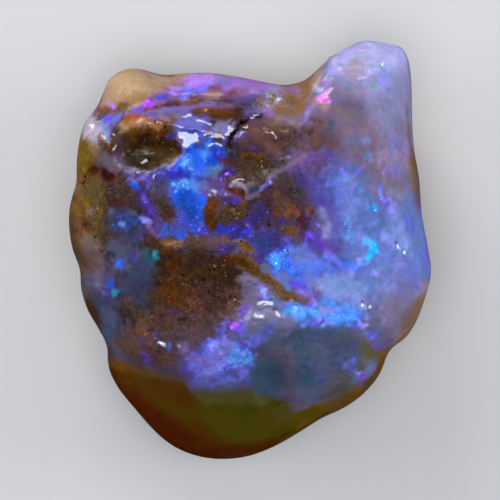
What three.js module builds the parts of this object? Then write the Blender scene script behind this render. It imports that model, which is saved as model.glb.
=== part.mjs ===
// A rough fire opal: one loose, water-worn piece of precious opal in its potch skin, lying on its back.
//
// Millimetres, +Z up. The stone lies on a small flat break at the bottom, and its best face looks up.
// +Y points to the horn end of the stone and +X to its milky side. The origin is under the middle of
// the stone, on the surface that it lies on.
//
// The solid starts as a sphere of even triangles. Each vertex is moved in plan by the stone's outline,
// and up or down by the crown or the back. The crown then carries ledges, ridges, hollows and knobs,
// each laid on it as a soft stroke, as a carver would work it.

import * as THREE from "three";
import { ImprovedNoise } from "three/addons/math/ImprovedNoise.js";
import { mergeVertices } from "three/addons/utils/BufferGeometryUtils.js";

// Driving dimensions
const LENGTH = 30; // along Y, from the blunt amber end to the tip of the horn
const CROWN_HEIGHT = 8.6; // from the girdle, the stone's widest level, up to the top of its dome
const BACK_DEPTH = 6.2; // from the girdle down to where the rounded back would end
const REST_DEPTH = 5.5; // from the girdle down to the flat break that the stone lies on
const CORE_RADIUS = 12.3; // plan radius of the rounded core that the lobes stand out from
const CROWN_ROUNDNESS = 2.3; // exponent of the crown's section: 2 is a round dome, more is boxier
const BACK_ROUNDNESS = 2.6;
const SPHERE_DETAIL = 21; // gives 20 * 22 * 22 = 9680 triangles
const GIRDLE_ANGLE = THREE.MathUtils.degToRad(112); // sphere angle from the pole that becomes the girdle

// The girdle seen from above, anticlockwise from the milky side. X, Y in mm.
const OUTLINE = [
  [12.65, 0.0],
  [12.2, 2.5],
  [12.0, 5.2],
  [11.65, 7.2],
  [11.5, 10.0],
  // horn, round its blunt tip and down its inner side
  [11.4, 13.0],
  [10.95, 14.4],
  [10.3, 14.72],
  [9.6, 14.65],
  [8.3, 15.0],
  [7.2, 14.65],
  [6.2, 14.0],
  [5.3, 13.4],
  [4.35, 12.35],
  [3.4, 11.92],
  [2.4, 11.75],
  // long rim between the horn and the tan lobe
  [1.0, 11.98],
  [-0.8, 12.35],
  [-2.6, 12.65],
  [-4.5, 12.65],
  [-6.4, 12.52],
  // tan lobe
  [-7.3, 12.8],
  [-8.3, 13.0],
  [-9.3, 12.8],
  [-10.15, 12.15],
  [-10.5, 11.3],
  // lobed brown flank
  [-10.95, 10.2],
  [-11.7, 9.25],
  [-12.15, 8.2],
  [-12.4, 6.4],
  [-12.42, 4.7],
  [-12.8, 3.5],
  [-12.93, 2.0],
  [-12.68, 0.1],
  [-12.13, -1.4],
  [-12.05, -2.7],
  [-11.55, -4.35],
  [-10.75, -5.7],
  [-10.2, -6.9],
  // blunt amber end
  [-10.15, -8.3],
  [-9.5, -9.75],
  [-8.2, -11.4],
  [-6.9, -12.9],
  [-5.5, -14.05],
  [-3.8, -14.75],
  [-2.0, -14.97],
  [0.0, -14.72],
  [1.85, -14.0],
  [3.85, -12.8],
  [5.1, -12.0],
  [6.5, -11.35],
  [8.0, -10.3],
  [9.25, -8.8],
  // notch and the round shoulder of the milky side
  [9.65, -7.65],
  [10.0, -7.05],
  [11.0, -6.3],
  [11.7, -5.25],
  [12.35, -3.6],
  [12.85, -1.6],
];

// How much the girdle dips below its mean level, in mm, at some plan angles in degrees.
const GIRDLE_DIPS = [
  { angle: 112, dip: 1.5, spread: 30 }, // long rim
  { angle: 53, dip: 0.6, spread: 14 }, // horn
  { angle: 262, dip: 1.4, spread: 34 }, // amber end
  { angle: 196, dip: -0.9, spread: 22 }, // brown flank
  { angle: 340, dip: -0.8, spread: 20 }, // milky shoulder
];

// Worn breaks that trim the dome to broad flats. Each is a plane at its level over one point, which
// falls away by its slope towards the fall angle, in degrees.
const BREAKS = [
  { over: [0, 2], level: 7.5, fall: 100, slope: 0.05 }, // front, from the brow to the upper ridge
  { over: [3.5, 1], level: 7.1, fall: 8, slope: 0.24 }, // long milky side
  { over: [3.5, -5.6], level: 7.6, fall: -72, slope: 0.72 }, // grey side under the brow
  { over: [-4.5, -8.6], level: 7.0, fall: -106, slope: 0.8 }, // amber end
  { over: [-8.2, 2], level: 6.6, fall: 172, slope: 0.75 }, // brown flank
];
const BACK_BREAKS = [
  { over: [2, 6], level: 6.3, fall: 62, slope: 0.32 }, // under the horn
  { over: [-6, -1], level: 6.2, fall: 188, slope: 0.5 }, // under the brown flank
  { over: [0, -8], level: 6.0, fall: -88, slope: 0.42 }, // under the amber end
  { over: [7, -3], level: 6.1, fall: -24, slope: 0.6 }, // under the milky shoulder
];
const BREAK_WEAR = 1.3; // how far the edges between the flats are worn round
const WALL_WEAR = { crown: 0.6, back: 1.2 }; // deepest that the walls off the girdle are worn back
const RUBBING = { passes: 3, share: 0.4 }; // the last light wear, which rounds every sharp edge

// Ridges stand up from the crown and grooves are cut in it. Each follows a smooth line in plan.
const RIDGES = [
  // brow: the nearest edge of the stone, across the whole width above the amber end
  {
    line: [
      [-9.8, -6.6],
      [-7.3, -7.9],
      [-4.6, -8.2],
      [-2.2, -7.3],
      [-0.2, -5.7],
      [1.6, -4.8],
      [4.3, -4.95],
      [7.2, -5.2],
      [9.7, -6.2],
    ],
    height: 0.6,
    width: 1.2,
  },
  // back of the horn
  {
    line: [
      [9.7, 13.8],
      [9.1, 10.8],
      [8.6, 7.2],
      [8.9, 4],
    ],
    height: 0.8,
    width: 1.9,
  },
  // inner edge of the horn
  {
    line: [
      [7.2, 14.3],
      [5.7, 12.6],
      [4.9, 11.1],
      [3.9, 9.3],
      [2.6, 8.6],
      [0.7, 8.8],
    ],
    height: 0.7,
    width: 0.65,
  },
  // raised lip round the near side of the oval pit
  {
    line: [
      [-10.0, 7.2],
      [-9.7, 6.3],
      [-8.5, 5.65],
      [-7.0, 5.45],
      [-5.5, 5.9],
      [-4.5, 6.9],
    ],
    height: 0.7,
    width: 0.5,
  },
  // pale rib that runs down from the right to a curl in the middle
  {
    line: [
      [4.3, 6.6],
      [2.5, 5.3],
      [0.85, 4.2],
      [-0.4, 4.6],
      [-1.4, 4.3],
    ],
    height: 0.6,
    width: 0.5,
  },
  // shelf edge with the brown strip
  {
    line: [
      [-5.6, -0.3],
      [-2.5, 0.2],
      [-0.5, -0.35],
      [1.8, -2.15],
      [3.7, -3.7],
    ],
    height: 0.45,
    width: 0.7,
  },
  // groove at the foot of the upper ridge
  {
    line: [
      [-9.4, 10.3],
      [-8.0, 10.4],
      [-4.6, 10.6],
      [-0.6, 10.3],
    ],
    height: -0.4,
    width: 0.75,
  },
  // crest of the long rim
  {
    line: [
      [-6.6, 11.2],
      [-3.5, 11.5],
      [-0.5, 11.0],
    ],
    height: 0.5,
    width: 0.6,
  },
  // violet valley between the upper and the lower mass
  {
    line: [
      [-7.2, 2.0],
      [-4.9, 1.8],
      [-1.4, 1.5],
      [1.2, 1.6],
      [3.8, 0.2],
      [5.8, -1.4],
    ],
    height: -0.5,
    width: 1.1,
  },
];

// A ledge is a step: the crown falls away on one side of its line (side +1 is its left).
const LEDGES = [
  // upper ridge, behind which the long rim lies further down
  {
    line: [
      [2.6, 8.8],
      [0.6, 9.3],
      [-2.15, 9.65],
      [-4.65, 9.8],
      [-7.2, 9.65],
      [-9.6, 9.45],
      [-14, 9.2],
    ],
    side: -1,
    share: 0.38,
    width: 1.1,
    fades: [0.2, 0],
  },
  // fine step where the milky skin ends over the amber
  {
    line: [
      [-10.4, -7.9],
      [-7.3, -8.4],
      [-4.7, -9.2],
      [-2.6, -10.3],
      [0.8, -11.3],
      [3.6, -11.05],
      [7.0, -10.9],
    ],
    side: -1,
    share: 0.1,
    width: 0.5,
    fades: [0.1, 0.1],
  },
];

// Hollows (negative height) and knobs, each an ellipse in plan with its long axis at turn degrees.
const SPOTS = [
  { at: [-7.15, 7.3], radii: [2.6, 1.4], turn: 4, height: -1.9 }, // oval pit
  { at: [-8.2, 9.0], radii: [1.4, 0.7], turn: 0, height: 0.6 }, // brown lump over the pit
  { at: [-4.1, 8.1], radii: [1.2, 1.1], turn: 0, height: 0.8 }, // glossy knob
  { at: [-0.8, 8.3], radii: [1.3, 0.9], turn: 30, height: 0.7 }, // cracked knob
  { at: [2.9, 10.7], radii: [2.5, 1.4], turn: 25, height: -1.3 }, // dish behind the horn
  { at: [-8.6, 11.5], radii: [2.3, 1.6], turn: 0, height: 1.0 }, // tan lobe
  { at: [0.4, 6.1], radii: [1.5, 1.2], turn: 0, height: -0.6 }, // brown hollow
  { at: [-1.6, 2.8], radii: [1.5, 1.1], turn: 0, height: 0.7 }, // brown block
  { at: [-4.0, 4.4], radii: [1.8, 2.4], turn: 20, height: -0.6 }, // blue dish
  { at: [-3.4, -3.2], radii: [4.2, 2.4], turn: -12, height: -0.55 }, // brown shelf
  { at: [-8.6, -1.4], radii: [2.2, 3.0], turn: 0, height: -0.4 }, // blue-grey flank
  { at: [5.9, 3.6], radii: [2.6, 3.8], turn: 10, height: -0.5 }, // long dish of the milky side
  { at: [10.4, -0.6], radii: [1.8, 3.4], turn: 0, height: 0.6 }, // milky shoulder
  { at: [4.6, -2.6], radii: [2.8, 1.3], turn: -15, height: -0.35 }, // bright shelf under the strip
  { at: [4.6, -8.2], radii: [3.6, 2.2], turn: 10, height: 0.35 }, // grey bulge under the brow
  { at: [-6.4, -6.5], radii: [1.3, 0.9], turn: 0, height: 0.45 }, // small brown knob by the brow
  { at: [-9.4, 4.2], radii: [1.3, 1.5], turn: 0, height: 0.35 }, // lobes and nicks of the flank
  { at: [-11.4, 5.4], radii: [1.3, 0.9], turn: 0, height: -0.4 },
  { at: [-11.0, -1.4], radii: [1.5, 1.0], turn: 0, height: -0.5 },
  { at: [-9.4, -7.4], radii: [1.4, 1.0], turn: 0, height: -0.45 },
  { at: [9.4, -7.2], radii: [1.4, 0.9], turn: 40, height: -0.45 },
];

const { clamp, degToRad, lerp, smoothstep } = THREE.MathUtils;
const LINE_STEPS = 48;
const noise = new ImprovedNoise();

// Sum of noise octaves, each half the size of the one before, between about -1 and 1.
function roughness(point, size, octaves) {
  let sum = 0;
  let strength = 1;
  for (let octave = 0; octave < octaves; octave += 1) {
    const scale = 2 ** octave / size;
    const shift = 7.3 * octave;
    sum += strength * noise.noise(point.x * scale + shift, point.y * scale, point.z * scale - shift);
    strength *= 0.5;
  }
  return sum;
}

function smoothLine(points) {
  const curve = new THREE.SplineCurve(points.map(([x, y]) => new THREE.Vector2(x, y)));
  return curve.getPoints(LINE_STEPS);
}

// The nearest place on a line: how far it is, on which side (+1 is left) and how far along (0 to 1).
function nearestOn(line, point) {
  let best = { distance: Infinity, side: 1, along: 0 };
  for (let i = 0; i + 1 < line.length; i += 1) {
    const start = line[i];
    const step = line[i + 1].clone().sub(start);
    const offset = point.clone().sub(start);
    const share = clamp(offset.dot(step) / step.lengthSq(), 0, 1);
    const distance = offset.distanceTo(step.clone().multiplyScalar(share));
    if (distance < best.distance) {
      best = {
        distance,
        side: Math.sign(step.cross(offset)) || 1,
        along: (i + share) / (line.length - 1),
      };
    }
  }
  return best;
}

// Plan radius of the outline at every angle, from a closed curve through its points.
function outlineRadius() {
  const points = OUTLINE.map(([x, y]) => new THREE.Vector3(x, y, 0));
  const curve = new THREE.CatmullRomCurve3(points, true, "centripetal");
  const samples = curve.getPoints(1200).map((p) => ({ angle: Math.atan2(p.y, p.x), radius: p.length() }));
  samples.sort((a, b) => a.angle - b.angle);
  const turn = 2 * Math.PI;
  const first = samples[0];
  const last = samples[samples.length - 1];
  samples.unshift({ angle: last.angle - turn, radius: last.radius });
  samples.push({ angle: first.angle + turn, radius: first.radius });
  return (angle) => {
    let low = 0;
    let high = samples.length - 1;
    while (high - low > 1) {
      const middle = (low + high) >> 1;
      if (samples[middle].angle <= angle) low = middle;
      else high = middle;
    }
    const span = samples[high].angle - samples[low].angle || 1;
    return lerp(samples[low].radius, samples[high].radius, (angle - samples[low].angle) / span);
  };
}

const radiusAt = outlineRadius();
const ridges = RIDGES.map((ridge) => ({ ...ridge, line: smoothLine(ridge.line) }));
const ledges = LEDGES.map((ledge) => ({ ...ledge, line: smoothLine(ledge.line) }));

function girdleLevel(angle) {
  let level = 0;
  for (const { angle: at, dip, spread } of GIRDLE_DIPS) {
    let gap = Math.abs(angle - degToRad(at)) % (2 * Math.PI);
    gap = Math.min(gap, 2 * Math.PI - gap);
    level -= dip * Math.exp(-((gap / degToRad(spread)) ** 2));
  }
  return level;
}

function section(reach, roundness) {
  return (1 - Math.min(1, reach) ** roundness) ** (1 / roundness);
}

// The lower of two heights, with the corner between them worn round.
function wornMin(first, second) {
  const mix = Math.max(BREAK_WEAR - Math.abs(first - second), 0) / BREAK_WEAR;
  return Math.min(first, second) - (mix * mix * BREAK_WEAR) / 4;
}

// The dome, trimmed by the broad breaks.
function brokenDome(height, point, breaks) {
  let left = height;
  for (const { over, level, fall, slope } of breaks) {
    const downhill = new THREE.Vector2(Math.cos(degToRad(fall)), Math.sin(degToRad(fall)));
    const run = point.clone().sub(new THREE.Vector2(...over)).dot(downhill);
    left = wornMin(left, level - slope * run);
  }
  return left;
}

function ridgeHeight(point) {
  let height = 0;
  for (const ridge of ridges) {
    const { distance } = nearestOn(ridge.line, point);
    height += ridge.height * Math.exp(-((distance / ridge.width) ** 2));
  }
  return height;
}

// Share of the crown's height that the ledges leave.
function ledgeShare(point) {
  let share = 1;
  for (const ledge of ledges) {
    const { distance, side, along } = nearestOn(ledge.line, point);
    const fall = smoothstep(side * ledge.side * distance, -ledge.width, ledge.width);
    const start = smoothstep(along, -0.01, ledge.fades[0]);
    const end = smoothstep(1 - along, -0.01, ledge.fades[1]);
    share *= 1 - ledge.share * fall * start * end;
  }
  return share;
}

function spotHeight(point) {
  let height = 0;
  for (const { at, radii, turn, height: peak } of SPOTS) {
    const local = point.clone().sub(new THREE.Vector2(...at));
    local.rotateAround(new THREE.Vector2(), -degToRad(turn));
    const reach = (local.x / radii[0]) ** 2 + (local.y / radii[1]) ** 2;
    height += peak * Math.exp(-(reach ** 1.5));
  }
  return height;
}

// Where a vertex of the unit sphere lies on the stone.
function placeOnStone(unit) {
  const fromPole = Math.acos(clamp(unit.z, -1, 1));
  const above = fromPole <= GIRDLE_ANGLE;
  const quarter = Math.PI / 2;
  const dip = above
    ? (fromPole / GIRDLE_ANGLE) * quarter
    : quarter + ((fromPole - GIRDLE_ANGLE) / (Math.PI - GIRDLE_ANGLE)) * quarter;
  const reach = Math.sin(dip);
  const angle = Math.atan2(unit.y, unit.x);
  const radius = lerp(CORE_RADIUS, radiusAt(angle), smoothstep(reach, 0.3, 1)) * reach;
  const plan = new THREE.Vector2(radius * Math.cos(angle), radius * Math.sin(angle));
  const girdle = girdleLevel(angle) * reach ** 4;
  const grain = new THREE.Vector3(plan.x, plan.y, above ? 0 : 20);
  const dome = section(reach, above ? CROWN_ROUNDNESS : BACK_ROUNDNESS);
  const inner = smoothstep(dome, 0, 0.45); // nought at the girdle, so the outline stays as drawn
  let level;
  if (above) {
    const carved = ridgeHeight(plan) + spotHeight(plan) + 0.5 * roughness(grain, 4.5, 4);
    level = brokenDome(CROWN_HEIGHT * dome, plan, BREAKS) * ledgeShare(plan) + carved * inner;
  } else {
    const lumps = 0.8 * roughness(grain, 6, 4) * inner;
    level = lumps - brokenDome(BACK_DEPTH * dome, plan, BACK_BREAKS);
  }
  const place = new THREE.Vector3(plan.x, plan.y, girdle + level);
  const worn = (above ? WALL_WEAR.crown : WALL_WEAR.back) * clamp(0.5 + 0.8 * roughness(place, 5, 3), 0, 1) * inner;
  plan.setLength(Math.max(plan.length() - worn * smoothstep(reach, 0.5, 0.95), 0));
  return place.set(plan.x, plan.y, place.z);
}

// Moves every vertex up or down, a share of the way to the mean level of its neighbours.
function rubDown(geometry, share) {
  const position = geometry.getAttribute("position");
  const index = geometry.getIndex();
  const sums = new Array(position.count).fill(0);
  const counts = new Array(position.count).fill(0);
  for (let i = 0; i < index.count; i += 1) {
    const vertex = index.getX(i);
    const next = index.getX(i % 3 === 2 ? i - 2 : i + 1);
    sums[vertex] += position.getZ(next);
    counts[vertex] += 1;
  }
  for (let i = 0; i < position.count; i += 1) {
    position.setZ(i, lerp(position.getZ(i), sums[i] / counts[i], share));
  }
}

function stoneGeometry() {
  const sphere = new THREE.IcosahedronGeometry(1, SPHERE_DETAIL);
  sphere.deleteAttribute("normal");
  sphere.deleteAttribute("uv");
  const geometry = mergeVertices(sphere, 1e-5);
  const position = geometry.getAttribute("position");
  const unit = new THREE.Vector3();
  for (let i = 0; i < position.count; i += 1) {
    unit.fromBufferAttribute(position, i).normalize();
    const place = placeOnStone(unit);
    position.setXYZ(i, place.x, place.y, place.z);
  }
  for (let pass = 0; pass < RUBBING.passes; pass += 1) rubDown(geometry, RUBBING.share);
  for (let i = 0; i < position.count; i += 1) {
    position.setZ(i, Math.max(position.getZ(i), -REST_DEPTH));
  }
  // The stone keeps its length exactly, and its bounding box stands over the origin.
  geometry.computeBoundingBox();
  const size = geometry.boundingBox.getSize(new THREE.Vector3());
  const scale = LENGTH / size.y;
  geometry.scale(scale, scale, scale);
  geometry.computeBoundingBox();
  const { min, max } = geometry.boundingBox;
  geometry.translate(-(min.x + max.x) / 2, -(min.y + max.y) / 2, -min.z);
  geometry.computeVertexNormals();
  return geometry;
}

function opalMaterial() {
  return new THREE.MeshStandardMaterial({ color: 0x7f78b4, roughness: 0.25, metalness: 0 });
}

const opal = new THREE.Mesh(stoneGeometry(), opalMaterial());
opal.name = "opal";

const stone = new THREE.Group();
stone.add(opal);

export default stone;
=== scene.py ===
"""A rough fire opal that lies on its back on a pale studio floor, in metres, in the part's own frame."""

import bmesh
import bpy
import numpy as np
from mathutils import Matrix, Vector, noise


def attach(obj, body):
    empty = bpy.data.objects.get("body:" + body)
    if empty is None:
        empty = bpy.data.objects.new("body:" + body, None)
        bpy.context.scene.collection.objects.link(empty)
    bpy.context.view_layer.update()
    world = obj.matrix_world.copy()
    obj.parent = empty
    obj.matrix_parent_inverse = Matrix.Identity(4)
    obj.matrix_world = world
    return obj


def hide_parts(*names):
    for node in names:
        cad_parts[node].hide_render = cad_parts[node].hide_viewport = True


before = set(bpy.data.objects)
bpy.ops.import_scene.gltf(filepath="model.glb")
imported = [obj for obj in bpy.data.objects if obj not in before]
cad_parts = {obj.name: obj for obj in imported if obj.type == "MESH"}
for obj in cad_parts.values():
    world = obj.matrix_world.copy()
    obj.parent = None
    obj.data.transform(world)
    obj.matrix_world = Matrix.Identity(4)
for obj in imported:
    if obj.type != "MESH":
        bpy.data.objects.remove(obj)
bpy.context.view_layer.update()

MM = 0.001
ONE_PLACE = 1e-6  # m, within which vertices are one
REST_LEVEL = 1e-5  # m up, below which the rest face's vertices stay where they are
FACE_CUTS = 4  # cuts on each edge of the cut solid's face, which leaves edges of about 0.12 mm
BACK_CUTS = 1
SMOOTHINGS = 6
CREST_LEVEL = 13.63  # mm up, above which nothing is raised
FRONT_LEVEL = 3.5  # mm up, where the face's own colours begin to take over from the back's
EDGE_LEVEL = 6.0  # mm up, where they have done so

# Strokes, relief, facets and gloss are placed on the camera's picture grid, which runs to the right
# and down from the frame's top left corner. Their reach, soft edge and width are in its steps too.
FRAME_STEPS = 500
STEPS = 14  # in a mm

# Colours of the stone, as sRGB hex.
COLOURS = {
    # milky body
    "milk_blue": "#7289d8",
    "milk_lavender": "#a3a6ea",
    # milky grey of the body, and the grey of painted highlights
    "milk_white": "#b9bdf0",
    # milky white of the body, and the white of painted highlights
    "milk_grey": "#8b88b4",
    "mauve_grey": "#7d6c8c",
    "mauve": "#6f5468",
    "mauve_brown": "#5e4048",
    "mauve_tan": "#8c7880",
    "grey_mauve": "#54506a",
    "grey_olive": "#5c5a44",
    "pale_olive": "#7c7264",
    "pale_grey_tan": "#a498a8",
    "smoke_olive": "#5c5034",
    "slate": "#4a5676",
    "dusk_slate": "#3a3d5c",
    "slate_dark": "#34385c",
    "slate_blue": "#3c58b0",
    "teal_grey": "#3d5a70",
    "teal_deep": "#1e566c",
    "violet_milk": "#7a68c0",
    "grey_violet": "#6c6094",
    "pale_lilac": "#ae9fe0",
    "powder_blue": "#7f99e0",
    "warm_grey": "#7c6c68",
    "dusk_smoke": "#5c505c",
    "slate_milk": "#5f668a",
    "lit_blue": "#6c84dc",
    "blue_violet": "#5650b8",
    # greyish white of the rib, and of one painted highlight on the curl
    "rib_white": "#8c84a8",
    # pale grey white of the shoulder, and of one painted highlight on the horn
    "shoulder_white": "#b4b0cc",
    "rim_lilac": "#9a70cc",
    "wet_grey": "#5c607c",
    "milk_sky": "#6482cc",
    "horn_milk": "#9a9ad2",
    "ash_mauve": "#7c6c88",
    "dusk_violet": "#5e5298",
    "field_blue": "#3c52b4",
    "lilac_blue": "#6a6cc4",
    "steel_blue": "#485a80",
    "slate_plum": "#3c3c52",
    "heather": "#58466a",
    "heather_grey": "#6e6a94",
    "heather_pink": "#86608a",
    "plum": "#503a4a",
    "umber_mauve": "#48383e",
    "umber": "#3e2a24",
    "ochre_brown": "#64461e",
    # play of colour
    "azure": "#1c62ec",
    "sky": "#529cff",
    "sky_fire": "#5ea4f8",
    "sky_grey": "#5890c8",
    "cyan": "#0cbcfc",
    "deep_blue": "#2c36b0",
    "deep_azure": "#0e4a9c",
    "true_blue": "#2450c8",
    "dim_blue": "#2c4280",
    "soft_blue": "#4c72cc",
    "dim_violet": "#3c2c74",
    "soft_violet": "#6a4cb4",
    "dim_teal": "#27566e",
    "ultramarine": "#3f46d4",
    "violet_blue": "#6c74ec",
    "lavender_fire": "#9492f4",
    "violet_fire": "#6a48e0",
    "deep_violet": "#46348c",
    "magenta_fire": "#9a3cf4",
    "mauve_fire": "#6050a8",
    "orchid": "#b47cf4",
    "pink_fire": "#ff8cf0",
    "green_fire": "#4cb484",
    "teal_fire": "#1a8a96",
    # potch, clay and ironstone
    "tan": "#b4946f",
    "pale_tan": "#c4a888",
    "peach_clay": "#a8785a",
    "tan_shade": "#6e5840",
    "clay_tan": "#8c6848",
    "edge_brown": "#644a30",
    "bark": "#5c4330",
    "rose_brown": "#7c4e44",
    "smoke": "#4c4450",
    "smoke_brown": "#54423a",
    "earth": "#4a3014",
    "moss": "#66520e",
    "olive_gold": "#80640c",
    "orange_brown": "#84480e",
    "pink_tan": "#a98a84",
    "pink_brown": "#6c4c48",
    "tan_brown": "#7c5c3c",
    "olive": "#6a5410",
    "olive_brown": "#4e3a10",
    # a painted highlight: a small yellow glint in the groove
    "yellow_glint": "#f0b428",
    "bright_rust": "#a05410",
    "rust": "#7c4210",
    "dark_rust": "#58280c",
    "brown": "#5a3210",
    "strip_brown": "#70502c",
    "deep_rust": "#3a1206",
    "pit_brown": "#33240c",
    "dark_brown": "#321c08",
    "red_brown": "#502414",
    "maroon": "#44202e",
    "crack": "#24141c",
    # amber end
    "amber_tan": "#75501a",
    # dark red amber, darker along the rim: partly its own colour, partly painted shade
    "amber_red": "#521c02",
    "amber": "#563203",
    "amber_yellow": "#584a06",
    "amber_olive": "#504606",
    "amber_green": "#46480c",
    "amber_rust": "#7a3c30",
}

# What each kind of matter is: how far it is dull clay, clear fire or smooth amber, how it tints its colours,
# and how ragged and wide its edge is.
KINDS = {
    "milk": {"finish": (0.0, 0.25, 0.0), "tint": (0.94, 0.92, 0.88), "ragged": 0.5, "spread": 1.9},
    "fire": {"finish": (0.0, 1.0, 0.0), "tint": (0.9, 0.9, 1.0), "ragged": 0.9, "spread": 1.7},
    "clay": {"finish": (1.0, 0.0, 0.0), "tint": (0.78, 0.74, 0.56), "ragged": 0.7, "spread": 1.6},
    "potch": {"finish": (0.25, 0.0, 0.3), "tint": (0.78, 0.76, 0.66), "ragged": 0.5, "spread": 1.9},
    "amber": {"finish": (0.1, 0.0, 1.0), "tint": (0.95, 0.97, 0.5), "ragged": 0.2, "spread": 1.2},
}
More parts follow.
